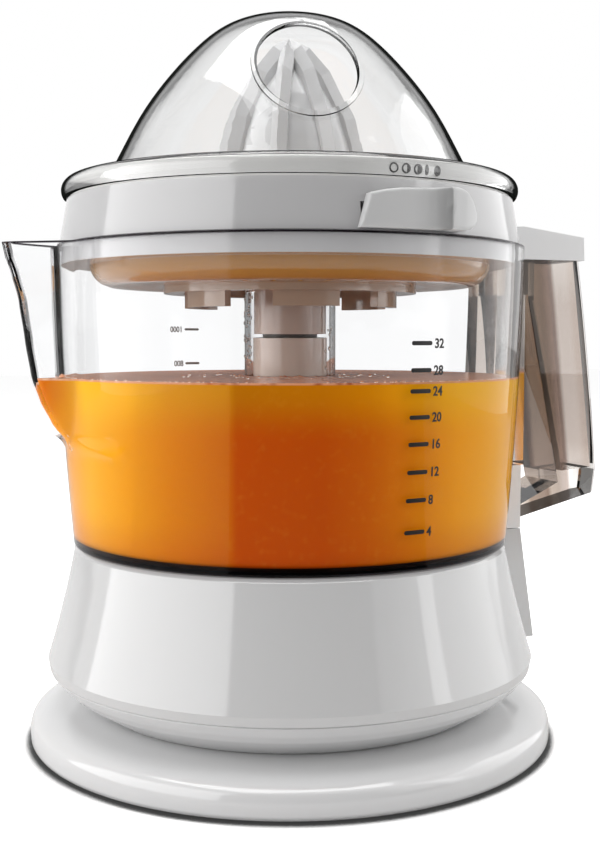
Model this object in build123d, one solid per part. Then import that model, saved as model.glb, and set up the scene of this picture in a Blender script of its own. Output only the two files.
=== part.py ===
from build123d import *
import math
import os

# Citrus press juicer, in millimetres. +Z is up and the origin is on the floor, under the shaft.
# The handle points along +X and the spout along -X. Bearings are degrees from -Y towards +X.

# Fits
LIFT_GAP = 0.3  # between pieces that lift or turn against each other
RUN_GAP = 0.06  # shaft or pin in its bush
PILOT_GAP = 0.05  # screw in its hole
PRESS_TRAVEL = 2.5  # the pressed cones and shaft

# Foot disc and its rubber ring
DISC_R = 88.0
DISC_H = 12.5
DISC_WALL = 2.6
DISC_SIDE_H = 6.5
DISC_CROWN_R = DISC_R - 10.0
DISC_CROWN_FALL = 0.5
FOOT_RING_R = DISC_R - 14.0
FOOT_RING_HALF_W = 3.5
FOOT_RING_H = 3.0
FOOT_STAND = 0.8  # the disc's edge above the floor

# Base pan and motor housing
PAN_SEAT_R = DISC_R - 21.3
PAN_CREASE_R = 76.4
PAN_CREASE_UP = 6.6
PAN_H = 12.6
SEAM_R = 81.4
SHELL = 2.5
HOUSING_H = 40.0
HOUSING_BELLY_R = 81.9
HOUSING_BELLY_UP = 2.9
HOUSING_WAIST_R = 76.3
HOUSING_TOP_R = 72.8
TOP_EDGE_R = 1.0
LIP_H = 2.4
LIP_WALL = 1.8
SPINE_FOOT_R = 90.6
SPINE_TOP_R = 84.5
SPINE_HALF_W = 12.0
TOWER_H = 68.4
TOWER_R = 12.5
TOWER_FOOT_R = 12.9
TOWER_BORE_R = 9.8

# Screws
SCREW_R = 1.5
HEAD_R = 3.2
HEAD_H = 2.0
BOSS_R = 4.5
HOUSING_SCREW_L = 12.0  # what each screw takes in the piece it bites
DISC_SCREW_L = 3.0
PLATE_SCREW_L = 9.0
PILOT_MORE = 1.0  # each pilot hole beyond its screw
DISC_BOSS_UP = 4.0
HOUSING_SCREW_R = 58.0
HOUSING_SCREW_AT = (22.5, 112.5, 202.5, 292.5)
DISC_SCREW_R = 44.0
DISC_SCREW_AT = (70.0, 190.0, 310.0)
PLATE_SCREW_R = 50.0
PLATE_SCREW_AT = (40.0, 185.0, 320.0)

# Motor and gears
MODULE = 1.25
FACE_W = 6.0
LAYER_GAP = 1.0
DECK_CLEAR = 1.4
BACKLASH = 0.3
PRESSURE_ANGLE = 20.0
SHAFT_TEETH = 36
IDLER_SMALL_TEETH = 14
IDLER_LARGE_TEETH = 36
ROTOR_TEETH = 12
PLATE_T = 2.5
PLATE_EDGE = 2.0
CAN_R = 24.0
CAN_H = 27.0
CAN_WALL = 1.0
MAGNET_R = 12.5
ROTOR_SHAFT_R = 1.5
PIN_R = 2.0
GEAR_HUB_R = 6.2
GEAR_RIM = 4.0  # from the pitch circle in to the thinner web
WEB_CUT = 2.0

# Drive shaft, bushes, spring and switch
HEX_AF = 7.0
HEX_GAP = 0.25  # each side
SHAFT_FOOT_Z = 31.0
BUSH_H = 7.5
CLIP_UP = 19.0
CLIP_R = 8.2
CLIP_T = 1.5
SPRING_WIRE_R = 0.5
SPRING_R = 6.4
SPRING_TURNS = 4.5
SWITCH_L = 27.0
SWITCH_W = 10.0
SWITCH_H = 12.2
PLUNGER_R = 2.5
GLAND_R = 5.0
GLAND_FLANGE_R = 7.6
GLAND_BORE_R = 2.7
GLAND_Z = 36.0

# Jug
JUG_H = 97.8
JUG_BASE_R = 72.9
JUG_MID_R = 76.4
JUG_RIM_R = 78.0
JUG_WALL = 2.5
JUG_EDGE_R = 1.6
CHIMNEY_R = 15.4
CHIMNEY_BORE_R = 13.4
CHIMNEY_H = 83.6
SPOUT_TIP_R = 95.6
SPOUT_HALF_W = 23.0
SPOUT_FOOT_HALF_W = 3.0
SPOUT_NOSE_R = 2.5
SPOUT_FOOT_NOSE_R = 0.6
SPOUT_ROOT = 12.0  # how far the spout's section runs inside the wall
SPOUT_START = 2.0
SPOUT_DROP = 64.0  # from the rim to where the spout meets the wall
SPOUT_BULGE = 0.52  # how early the spout swells: below 1 is rounder

# Handle
GRIP_HALF_W = 11.0
POST_R = 86.0
GRIP_TOP_R = 109.5
GRIP_MID_R = 115.2
GRIP_LOW_R = 118.5
GRIP_FOOT_Z = 77.0
WEB_T = 3.4
WEB_RISE = 8.0
FINGER_TOP_Z = 149.0
FINGER_FOOT_R = 101.0
GRIP_WALL = 2.6
GRIP_EDGE = 2.0
FOOT_BLOCK_H = 22.6
CAP_HALF_W = 12.0
CAP_H = 11.5
CAP_FALL = 3.2
CAP_INNER_R = JUG_RIM_R + 0.5
CAP_PEAK_R = CAP_INNER_R + 6.0
CAP_OVERHANG = 0.7
CAP_WALL = 2.2
CAP_EDGE_R = 0.8
RIM_TO_CAP = 1.7  # the cap's foot below the jug's rim
GRIP_EDGE_R = GRIP_TOP_R - 2.0  # edges beyond this are chamfered
GRIP_FOOT_UP = 8.0
POCKET_IN = 2.0

# Collector, with its slots
COLLAR_H = 14.8
COLLAR_TOP_R = 73.9
COLLAR_MID_R = 75.2
COLLAR_FOOT_R = 76.6
COLLAR_WALL = 2.3
RIM_R = 72.8
RIM_H = 5.0
SKIRT_R = 74.9
SKIRT_H = 6.3
BOWL_R = 66.8
BOWL_DROP = 13.0
FLOOR_R = 58.0
FLOOR_T = 2.2
HUB_R = 15.0
HUB_UP = 9.5
RING_R = 42.5
RING_WALL = 6.5
RING_DROP = 2.2
TAB_WALL = 3.0
TAB_DROP = 6.9
TAB_COUNT = 6
TAB_SPAN = 34.0
SLOT_W = 1.6
BASKET_HUB_DROP = 3.0  # the basket's hub below the collector's
OUTER_SLOTS = (45.5, 56.0, 40)  # inner radius, outer radius, count
INNER_SLOTS = (19.5, 32.0, 20)

# Pulp control
BASKET_T = 1.6
BASKET_BAND_R = 71.0
BASKET_BAND_H = 16.0
LEVER_FROM = -7.5
LEVER_TO = 21.0
LEVER_RIDGE = 12.0
LEVER_TRAVEL = 12.0
LEVER_EDGE_R = 79.0
LEVER_RIDGE_R = 83.5
LEVER_FOOT_UP = 0.4
LEVER_H = 12.0
NECK_FROM = 6.0
NECK_TO = 12.0
NECK_UP = 2.6
NECK_H = 5.0

# Reamer
SLEEVE_R = 12.2
SLEEVE_FLANGE_R = 15.5
SLEEVE_FLANGE_T = 2.0
SMALL_CONE_R = 23.5
SMALL_CONE_H = 52.0
LARGE_CONE_R = 33.0
LARGE_CONE_H = 70.0
CONE_WALL = 2.2
CONE_GAP = 3.0  # between the small cone's foot and the large one
RIB_COUNT = 8
RIB_DEPTH = 4.0
RIB_HALF_W = 2.6
RIB_TURN = -31.0
SOCKET_R = 7.0
SOCKET_GRIP = 9.7

# Dust cover
COVER_H = 56.1
DOME_SHARES = ((0.82, 0.39), (0.656, 0.635), (0.492, 0.822))  # of the foot radius and the height
COVER_WALL = 1.7
DOME_FOOT_R = 61.0
COVER_FLANGE_R = 72.4
LIP_R = 75.6
LIP_DROP = 4.6
WINDOW_R = 15.5
WINDOW_UP = 31.4
WINDOW_AT = -14.0
WINDOW_RIM = 1.6
WINDOW_RIM_UP = 1.1

# Heights that follow from the stack
SEAM_Z = DISC_H + PAN_H
HOUSING_Z = SEAM_Z + HOUSING_H
DECK_Z = HOUSING_Z - SHELL
TOWER_Z = HOUSING_Z + TOWER_H
HIGH_LAYER_Z = DECK_Z - DECK_CLEAR - FACE_W
LOW_LAYER_Z = HIGH_LAYER_Z - LAYER_GAP - FACE_W
PLATE_Z = LOW_LAYER_Z - LAYER_GAP - PLATE_T
JUG_Z = HOUSING_Z + LIFT_GAP
RIM_Z = JUG_Z + JUG_H
CHIMNEY_Z = JUG_Z + CHIMNEY_H
COLLAR_Z = RIM_Z + LIFT_GAP
COLLAR_TOP_Z = COLLAR_Z + COLLAR_H
BOWL_Z = COLLAR_Z - BOWL_DROP
FLOOR_Z = BOWL_Z + FLOOR_T
HUB_Z = BOWL_Z + HUB_UP
CROWN_Z = COLLAR_TOP_Z + RIM_H
SLEEVE_Z = TOWER_Z + LIFT_GAP + 1.0
FLANGE_Z = HUB_Z + LIFT_GAP
CONE_Z = FLANGE_Z + SLEEVE_FLANGE_T + PRESS_TRAVEL + LIFT_GAP
LARGE_CONE_Z = CONE_Z - 2.0
SHAFT_TOP_Z = CONE_Z + SOCKET_GRIP - LIFT_GAP - 3.0
COVER_Z = CROWN_Z + LIFT_GAP

# Plan of the gear train: the idler is straight behind the shaft
IDLER_Y = MODULE * (SHAFT_TEETH + IDLER_SMALL_TEETH) / 2
ROTOR_REACH = MODULE * (IDLER_LARGE_TEETH + ROTOR_TEETH) / 2
ROTOR_BEARING = math.radians(198.0)
ROTOR_X = ROTOR_REACH * math.cos(ROTOR_BEARING)
ROTOR_Y = IDLER_Y + ROTOR_REACH * math.sin(ROTOR_BEARING)


def lathe(*edges, arc=360.0):
    """Solid of revolution about the shaft axis, from edges in radius and height."""
    outline = Plane.XZ * make_face(Curve() + list(edges))
    return revolve(outline, Axis.Z, arc)


def ring(inner, outer, low, high):
    """Plain tube about the shaft axis."""
    tube = Pos(0, 0, low) * Cylinder(outer, high - low, align=(Align.CENTER, Align.CENTER, Align.MIN))
    if inner <= 0:
        return tube
    bore = Pos(0, 0, low) * Cylinder(inner, high - low, align=(Align.CENTER, Align.CENTER, Align.MIN))
    return tube - bore


def post(x, y, radius, low, high):
    """Upright round post or hole."""
    return Pos(x, y, low) * Cylinder(radius, high - low, align=(Align.CENTER, Align.CENTER, Align.MIN))


def around(radius, bearings):
    """Centres on a circle, at bearings in degrees from +X."""
    return [(radius * math.cos(math.radians(a)), radius * math.sin(math.radians(a))) for a in bearings]


def fan(solid, count, first=0.0):
    """Copies of a solid, evenly spaced about the shaft axis."""
    return [Rot(0, 0, first + 360 * i / count) * solid for i in range(count)]


def slab(points, half_w):
    """Outline in radius and height along +X, made solid to both sides."""
    return extrude(Plane.XZ * make_face(Polyline(*points, close=True)), half_w, both=True)


def write(shape, node):
    export_step(shape, f"parts/{node}.step")


# Base ---------------------------------------------------------------------------------------


def foot_disc():
    """Round foot, hollow below, with bosses for its screws and a land for its rubber ring."""
    under_z = DISC_H - DISC_WALL
    crown_z = DISC_H - DISC_CROWN_FALL
    inner_r = DISC_R - DISC_WALL
    disc = lathe(
        Polyline((0, DISC_H), (0, under_z), (DISC_CROWN_R - DISC_WALL, under_z)),
        Line((DISC_CROWN_R - DISC_WALL, under_z), (inner_r, DISC_SIDE_H - DISC_WALL / 2)),
        Polyline((inner_r, DISC_SIDE_H - DISC_WALL / 2), (inner_r, FOOT_STAND)),
        Line((inner_r, FOOT_STAND), (DISC_R - FOOT_STAND / 2, FOOT_STAND)),
        Polyline((DISC_R - FOOT_STAND / 2, FOOT_STAND), (DISC_R, 2 * FOOT_STAND), (DISC_R, DISC_SIDE_H)),
        ThreePointArc((DISC_R, DISC_SIDE_H), (DISC_R - 2.0, DISC_SIDE_H + 3.0), (DISC_CROWN_R, crown_z)),
        Polyline((DISC_CROWN_R, crown_z), (PAN_SEAT_R + 4.0, DISC_H), (0, DISC_H)),
    )
    disc += ring(FOOT_RING_R - FOOT_RING_HALF_W, FOOT_RING_R + FOOT_RING_HALF_W, FOOT_RING_H, under_z)
    for x, y in around(DISC_SCREW_R, DISC_SCREW_AT):
        disc += post(x, y, BOSS_R, DISC_H / 2, DISC_H - DISC_WALL)
        disc -= post(x, y, SCREW_R + PILOT_GAP, 0, DISC_H)
    return disc


def foot_ring():
    """Rubber ring below the disc, which everything stands on."""
    foot = ring(FOOT_RING_R - FOOT_RING_HALF_W, FOOT_RING_R + FOOT_RING_HALF_W, 0, FOOT_RING_H)
    return chamfer(foot.edges().group_by(Axis.Z)[0], FOOT_STAND / 2)


def base_pan():
    """Saucer under the housing: screw bosses inside, and a lip that centres the housing."""
    crease_z = DISC_H + PAN_CREASE_UP
    lip_r = SEAM_R - SHELL - LIFT_GAP
    pan = lathe(
        Polyline((0, DISC_H), (PAN_SEAT_R, DISC_H), (PAN_CREASE_R, crease_z), (SEAM_R, SEAM_Z)),
        Polyline((SEAM_R, SEAM_Z), (lip_r, SEAM_Z), (lip_r, SEAM_Z + LIP_H), (lip_r - LIP_WALL, SEAM_Z + LIP_H)),
        Line((lip_r - LIP_WALL, SEAM_Z + LIP_H), (lip_r - LIP_WALL, SEAM_Z - 1)),
        Line((lip_r - LIP_WALL, SEAM_Z - 1), (PAN_SEAT_R - 1, DISC_H + SHELL)),
        Polyline((PAN_SEAT_R - 1, DISC_H + SHELL), (0, DISC_H + SHELL), (0, DISC_H)),
    )
    recess_z = DISC_H + SHELL + HEAD_H
    for x, y in around(HOUSING_SCREW_R, HOUSING_SCREW_AT):
        pan += post(x, y, BOSS_R, DISC_H, recess_z + SHELL)
        pan -= post(x, y, HEAD_R + PILOT_GAP, DISC_H, recess_z)
        pan -= post(x, y, SCREW_R + PILOT_GAP, DISC_H, recess_z + SHELL)
    for x, y in around(DISC_SCREW_R, DISC_SCREW_AT):
        pan += post(x, y, BOSS_R, DISC_H, DISC_H + SHELL + DISC_BOSS_UP)
        pan -= post(x, y, SCREW_R + PILOT_GAP, DISC_H, DISC_H + SHELL + DISC_BOSS_UP)
    return pan


def housing_skin(inset):
    """The housing's outer form, or its inside when inset by the wall."""
    belly_z = SEAM_Z + HOUSING_BELLY_UP
    top_z = HOUSING_Z - inset
    top_r = HOUSING_TOP_R - inset
    skin = lathe(
        Line((0, SEAM_Z), (SEAM_R - inset, SEAM_Z)),
        Line((SEAM_R - inset, SEAM_Z), (HOUSING_BELLY_R - inset, belly_z)),
        ThreePointArc(
            (HOUSING_BELLY_R - inset, belly_z),
            (HOUSING_WAIST_R - inset, (belly_z + HOUSING_Z) / 2 + 1.5),
            (top_r, top_z - TOP_EDGE_R),
        ),
        Polyline((top_r, top_z - TOP_EDGE_R), (top_r - TOP_EDGE_R, top_z), (0, top_z), (0, SEAM_Z)),
    )
    spine = slab(
        [
            (HOUSING_TOP_R / 2, SEAM_Z),
            (SPINE_FOOT_R - inset, SEAM_Z),
            (SPINE_TOP_R - inset, top_z),
            (HOUSING_TOP_R / 2, top_z),
        ],
        SPINE_HALF_W - inset,
    )
    return skin + spine


def motor_housing():
    """Tapered shell with a deck, a hollow tower for the shaft and a spine below the handle."""
    shell = housing_skin(0) - housing_skin(SHELL)
    shell += lathe(
        Polyline((0, HOUSING_Z), (TOWER_FOOT_R, HOUSING_Z), (TOWER_R, TOWER_Z), (0, TOWER_Z), (0, HOUSING_Z))
    )
    shell -= post(0, 0, TOWER_BORE_R, DECK_Z, TOWER_Z)
    recess_z = DISC_H + 2 * SHELL + HEAD_H
    pilot_l = HOUSING_SCREW_L + PILOT_MORE
    plate_pilot_z = PLATE_Z + PLATE_T + PLATE_SCREW_L + PILOT_MORE
    for x, y in around(HOUSING_SCREW_R, HOUSING_SCREW_AT):
        shell += post(x, y, BOSS_R, recess_z, DECK_Z)
        shell -= post(x, y, SCREW_R + PILOT_GAP, recess_z, recess_z + pilot_l)
    for x, y in around(PLATE_SCREW_R, PLATE_SCREW_AT):
        shell += post(x, y, BOSS_R, PLATE_Z + PLATE_T, DECK_Z)
        shell -= post(x, y, SCREW_R + PILOT_GAP, PLATE_Z + PLATE_T, plate_pilot_z)
    shell += post(0, IDLER_Y, PIN_R + SHELL, DECK_Z - DECK_CLEAR + LIFT_GAP, DECK_Z)
    shell -= post(0, IDLER_Y, PIN_R, DECK_Z - DECK_CLEAR, DECK_Z)
    return shell - gland_barrel(PILOT_GAP)


def gland_barrel(gap=0.0):
    """The gland's barrel, straight through the back wall."""
    hole = Cylinder(GLAND_R + gap, HOUSING_BELLY_R, align=(Align.CENTER, Align.CENTER, Align.MIN))
    return Pos(0, HOUSING_WAIST_R - 4, GLAND_Z) * Rot(-90, 0, 0) * hole


def cord_gland():
    """Rubber bush for the cord, its flange shaped to the slanted wall."""
    outer = HOUSING_BELLY_R + 1.5
    barrel = gland_barrel() & ring(0, outer, SEAM_Z, HOUSING_Z)
    flange = Cylinder(GLAND_FLANGE_R, outer, align=(Align.CENTER, Align.CENTER, Align.MIN))
    flange = Pos(0, 0, GLAND_Z) * Rot(-90, 0, 0) * flange - housing_skin(0)
    bore = Pos(0, 0, GLAND_Z) * Rot(-90, 0, 0) * Cylinder(GLAND_BORE_R, 2 * outer)
    return barrel + flange - bore


def screws(centres, head_z, length):
    """Pan-head screws; the shank points up from under the head."""
    group = Part()
    for x, y in centres:
        group += post(x, y, HEAD_R, head_z, head_z + HEAD_H)
        group += post(x, y, SCREW_R, head_z + HEAD_H, head_z + HEAD_H + length)
    return group


def gear_plate():
    """Plate below the gears: it carries the motor, the idler pin and the lower bush."""
    ears = [Pos(x, y) * Circle(BOSS_R + PLATE_EDGE) for x, y in around(PLATE_SCREW_R, PLATE_SCREW_AT)]
    pads = ears + [Pos(ROTOR_X, ROTOR_Y) * Circle(CAN_R + PLATE_EDGE)]
    pads += [Pos(0, IDLER_Y) * Circle(PIN_R + 4 * PLATE_EDGE)]
    rims = Curve() + [edge for pad in pads for edge in pad.edges()]
    plate = Pos(0, 0, PLATE_Z) * extrude(make_hull(rims.edges()), PLATE_T)
    plate -= post(0, 0, HEX_AF, PLATE_Z, PLATE_Z + PLATE_T)
    plate -= post(0, IDLER_Y, PIN_R, PLATE_Z, PLATE_Z + PLATE_T)
    plate -= post(ROTOR_X, ROTOR_Y, MAGNET_R / 2, PLATE_Z, PLATE_Z + PLATE_T)
    for x, y in around(PLATE_SCREW_R, PLATE_SCREW_AT):
        plate -= post(x, y, SCREW_R + PILOT_GAP, PLATE_Z, PLATE_Z + PLATE_T)
    return plate


# Drive --------------------------------------------------------------------------------------


def involute(angle):
    return math.tan(angle) - angle


def gear(teeth, low, width, turn=0.0):
    """Involute spur gear, with one tooth centred on the bearing turn, in degrees from +X."""
    pitch_r = MODULE * teeth / 2
    pressure = math.radians(PRESSURE_ANGLE)
    base_r = pitch_r * math.cos(pressure)
    tip_r = pitch_r + 0.9 * MODULE
    root_r = pitch_r - 1.2 * MODULE
    half_pitch = (math.pi * MODULE - BACKLASH) / 4 / pitch_r
    flank = []
    for radius in (root_r, max(base_r, root_r + 0.1), pitch_r, tip_r):
        roll = math.acos(min(base_r / radius, 1.0))
        flank.append((radius, half_pitch + involute(pressure) - involute(roll)))
    points = []
    for i in range(teeth):
        mid = math.radians(turn) + 2 * math.pi * i / teeth
        for side, rising in ((-1, flank), (1, flank[::-1])):
            points += [(r * math.cos(mid + side * a), r * math.sin(mid + side * a)) for r, a in rising]
    return Pos(0, 0, low) * extrude(make_face(Polyline(*points, close=True)), width)


def hexagon(low, high, gap=0.0):
    """Hexagonal bar, or its socket when given a gap."""
    section = RegularPolygon(HEX_AF / 2 + gap, 6, major_radius=False)
    return Pos(0, 0, low) * extrude(section, high - low)


def shaft_gear():
    """Output wheel with a hexagonal bore, on a hub that stands on the lower bush."""
    top_z = HIGH_LAYER_Z + FACE_W
    wheel = gear(SHAFT_TEETH, HIGH_LAYER_Z, FACE_W, 90.0)
    hub = ring(0, GEAR_HUB_R, PLATE_Z + PLATE_T + LIFT_GAP, top_z)
    wheel -= ring(2 * GEAR_HUB_R, SHAFT_TEETH * MODULE / 2 - GEAR_RIM, top_z - WEB_CUT, top_z)
    return wheel + hub - hexagon(PLATE_Z, DECK_Z, HEX_GAP)


def idler_gear():
    """Two-step gear on its pin. Its small step has a gap between teeth facing the shaft."""
    facing = -90.0 + 180.0 / IDLER_SMALL_TEETH
    small = gear(IDLER_SMALL_TEETH, LOW_LAYER_Z + FACE_W, FACE_W + LAYER_GAP, facing)
    large = gear(IDLER_LARGE_TEETH, LOW_LAYER_Z, FACE_W, 198.0)
    rim_r = IDLER_LARGE_TEETH * MODULE / 2 - GEAR_RIM
    large -= ring(IDLER_SMALL_TEETH * MODULE, rim_r, LOW_LAYER_Z, LOW_LAYER_Z + WEB_CUT)
    return Pos(0, IDLER_Y, 0) * (small + large - ring(0, PIN_R + RUN_GAP, PLATE_Z, DECK_Z))


def idler_pin():
    return post(0, IDLER_Y, PIN_R, PLATE_Z, DECK_Z)


def rotor():
    """Ring magnet on its shaft, with the pinion at the top."""
    foot_z = PLATE_Z - CAN_H + CAN_WALL
    magnet = ring(0, MAGNET_R, foot_z + 4, PLATE_Z - 5)
    spindle = ring(0, ROTOR_SHAFT_R, foot_z + 0.3, LOW_LAYER_Z + FACE_W)
    facing = 18.0 + 180.0 / ROTOR_TEETH
    pinion = gear(ROTOR_TEETH, LOW_LAYER_Z, FACE_W, facing)
    return Pos(ROTOR_X, ROTOR_Y, 0) * (magnet + spindle + pinion)


def motor_can():
    """Drawn cup of the synchronous motor, open at the top."""
    foot_z = PLATE_Z - CAN_H
    can = ring(0, CAN_R, foot_z, PLATE_Z) - ring(0, CAN_R - CAN_WALL, foot_z + CAN_WALL, PLATE_Z)
    bearing = ring(ROTOR_SHAFT_R + RUN_GAP, 4.0, foot_z + CAN_WALL, foot_z + CAN_WALL + 2.5)
    return Pos(ROTOR_X, ROTOR_Y, 0) * (can + bearing)


def stator_coil():
    """Ring coil in the can, around the magnet."""
    foot_z = PLATE_Z - CAN_H + CAN_WALL
    return Pos(ROTOR_X, ROTOR_Y, 0) * ring(MAGNET_R + 1.5, CAN_R - CAN_WALL - 0.2, foot_z, PLATE_Z - 2.5)


def motor_cap():
    """Lid of the can, below the gear plate, with the rotor's upper bearing."""
    lid = ring(ROTOR_SHAFT_R + RUN_GAP, CAN_R - CAN_WALL - 0.2, PLATE_Z - 2.5, PLATE_Z)
    return Pos(ROTOR_X, ROTOR_Y, 0) * lid


def bush(low, outer, flange=0.0):
    """Plain bearing for the hexagonal shaft, whose corners run in it."""
    corner_r = HEX_AF / math.sqrt(3)
    body = ring(corner_r + RUN_GAP, outer, low, low + BUSH_H)
    if flange:
        body += ring(corner_r + RUN_GAP, flange, low, low + 1.2)
    return body


def drive_shaft():
    """Hexagonal bar from the switch up through the tower into the cone's socket."""
    bar = hexagon(SHAFT_FOOT_Z, SHAFT_TOP_Z)
    return chamfer(bar.faces().sort_by(Axis.Z)[-1].edges(), 0.5)


def shaft_clip():
    """Retaining ring on the shaft, which the return spring pushes up."""
    clip_z = HOUSING_Z + CLIP_UP
    return ring(0, CLIP_R, clip_z, clip_z + CLIP_T) - hexagon(clip_z, clip_z + CLIP_T)


def return_spring():
    """Coil spring between the output wheel's hub and the clip on the shaft."""
    low = HIGH_LAYER_Z + FACE_W + SPRING_WIRE_R + PILOT_GAP
    high = HOUSING_Z + CLIP_UP - SPRING_WIRE_R - PILOT_GAP
    path = Helix((high - low) / SPRING_TURNS, high - low, SPRING_R)
    wire = sweep(Plane(path @ 0, z_dir=path % 0) * Circle(SPRING_WIRE_R), path)
    return Pos(0, 0, low) * wire


def switch_body():
    """Micro switch on the pan's floor, below the shaft."""
    low = DISC_H + SHELL
    case = Pos(SWITCH_L / 4, 0, low) * Box(
        SWITCH_L, SWITCH_W, SWITCH_H, align=(Align.CENTER, Align.CENTER, Align.MIN)
    )
    case = fillet(case.edges().filter_by(Axis.Z), 1.0)
    guide_z = low + SWITCH_H - PRESS_TRAVEL - 3.0
    return case - post(0, 0, PLUNGER_R + RUN_GAP, guide_z, low + SWITCH_H)


def switch_plunger():
    """Button of the micro switch, just under the shaft's foot."""
    top = SHAFT_FOOT_Z - LIFT_GAP
    low = DISC_H + SHELL + SWITCH_H - 3.0
    button = post(0, 0, PLUNGER_R, low, top)
    return fillet(button.edges().group_by(Axis.Z)[-1], 0.8)


# Jug ----------------------------------------------------------------------------------------


def jug_wall(inset):
    """Tapered round body, or its inside when inset by the wall."""
    low = JUG_Z + inset
    foot_r = JUG_BASE_R - inset
    mid_z = (JUG_Z + RIM_Z) / 2
    return lathe(
        Line((0, low), (foot_r - JUG_EDGE_R, low)),
        RadiusArc((foot_r - JUG_EDGE_R, low), (foot_r, low + JUG_EDGE_R), -JUG_EDGE_R),
        ThreePointArc((foot_r, low + JUG_EDGE_R), (JUG_MID_R - inset, mid_z), (JUG_RIM_R - inset, RIM_Z)),
        Polyline((JUG_RIM_R - inset, RIM_Z), (0, RIM_Z), (0, low)),
    )


def spout_section(share, inset):
    """Spout outline at a share of its height: two flanks that meet in a round nose."""
    swell = share**SPOUT_BULGE
    z = RIM_Z - SPOUT_DROP * (1 - share)
    root_r = JUG_BASE_R - SPOUT_ROOT
    wall_r = JUG_BASE_R + (JUG_RIM_R - JUG_BASE_R) * (z - JUG_Z) / JUG_H - SPOUT_START
    tip = wall_r + (SPOUT_TIP_R - wall_r) * swell - inset
    spread = (SPOUT_HALF_W - SPOUT_FOOT_HALF_W) * swell
    half = max(SPOUT_FOOT_HALF_W + spread - inset, SPOUT_FOOT_HALF_W / 2)
    nose = SPOUT_FOOT_NOSE_R + (SPOUT_NOSE_R - SPOUT_FOOT_NOSE_R) * swell
    shoulder_x = tip - nose
    shoulder_y = min(half / 2, nose)
    outline = (
        Line((-root_r, -half), (-shoulder_x, -shoulder_y))
        + ThreePointArc((-shoulder_x, -shoulder_y), (-tip, 0), (-shoulder_x, shoulder_y))
        + Line((-shoulder_x, shoulder_y), (-root_r, half))
        + Line((-root_r, half), (-root_r, -half))
    )
    return Pos(0, 0, z) * make_face(outline)


def spout(inset):
    shares = (0.02, 0.15, 0.4, 0.7, 1.0)
    return loft([spout_section(share, inset) for share in shares])


def jug():
    """Graduated jug: tapered wall with a pouring spout, and a chimney for the shaft tower."""
    body = jug_wall(0) + spout(0)
    inside = jug_wall(JUG_WALL) + spout(JUG_WALL)
    body -= inside
    body += ring(0, CHIMNEY_R, JUG_Z, CHIMNEY_Z)
    return body - ring(0, CHIMNEY_BORE_R, JUG_Z, CHIMNEY_Z)


def handle_foot():
    """Block under the handle's post, against the jug's wall."""
    block = slab(
        [
            (JUG_BASE_R - 5, JUG_Z),
            (SPINE_TOP_R, JUG_Z),
            (SPINE_TOP_R, JUG_Z + FOOT_BLOCK_H),
            (JUG_BASE_R - 5, JUG_Z + FOOT_BLOCK_H),
        ],
        SPINE_HALF_W,
    )
    return block - jug_wall(0)


def handle():
    """D-shaped hollow grip: post on the jug, tapering grip and a thin sloping web below."""
    block_z = JUG_Z + FOOT_BLOCK_H
    top_z = RIM_Z - RIM_TO_CAP
    web_z = GRIP_FOOT_Z - WEB_RISE
    mid_z = (top_z + GRIP_FOOT_Z) / 2
    side = (
        Polyline((JUG_BASE_R, block_z), (JUG_BASE_R, top_z), (GRIP_TOP_R, top_z))
        + ThreePointArc((GRIP_TOP_R, top_z), (GRIP_MID_R, mid_z), (GRIP_LOW_R, GRIP_FOOT_Z + GRIP_FOOT_UP))
        + Polyline(
            (GRIP_LOW_R, GRIP_FOOT_Z + GRIP_FOOT_UP),
            (GRIP_LOW_R - 1, GRIP_FOOT_Z),
            (SPINE_TOP_R, web_z),
            (SPINE_TOP_R, block_z),
            (JUG_BASE_R, block_z),
        )
    )
    grip = extrude(Plane.XZ * make_face(side), GRIP_HALF_W, both=True)
    web_top = web_z + WEB_T * 1.3
    grip -= slab(
        [
            (POST_R, FINGER_TOP_Z),
            (POST_R + 1.2, FINGER_TOP_Z),
            (FINGER_FOOT_R, GRIP_FOOT_Z + WEB_T * 1.2),
            (SPINE_TOP_R, web_top),
            (SPINE_TOP_R, block_z),
            (POST_R, block_z),
        ],
        2 * GRIP_HALF_W,
    )
    outer_edges = grip.edges().filter_by(Axis.Y, reverse=True).filter_by(lambda e: e.center().X > GRIP_EDGE_R)
    grip = chamfer(outer_edges, GRIP_EDGE)
    pocket = slab(
        [
            (POST_R + GRIP_WALL + POCKET_IN, top_z),
            (GRIP_TOP_R - GRIP_WALL, top_z),
            (GRIP_MID_R - GRIP_WALL - POCKET_IN / 4, mid_z),
            (GRIP_LOW_R - GRIP_WALL, GRIP_FOOT_Z + GRIP_FOOT_UP + 1),
            (FINGER_FOOT_R + GRIP_WALL, GRIP_FOOT_Z + GRIP_FOOT_UP),
            (POST_R + GRIP_WALL + POCKET_IN, FINGER_TOP_Z - POCKET_IN),
        ],
        GRIP_HALF_W - GRIP_WALL,
    )
    return grip - pocket - jug_wall(0)


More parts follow.
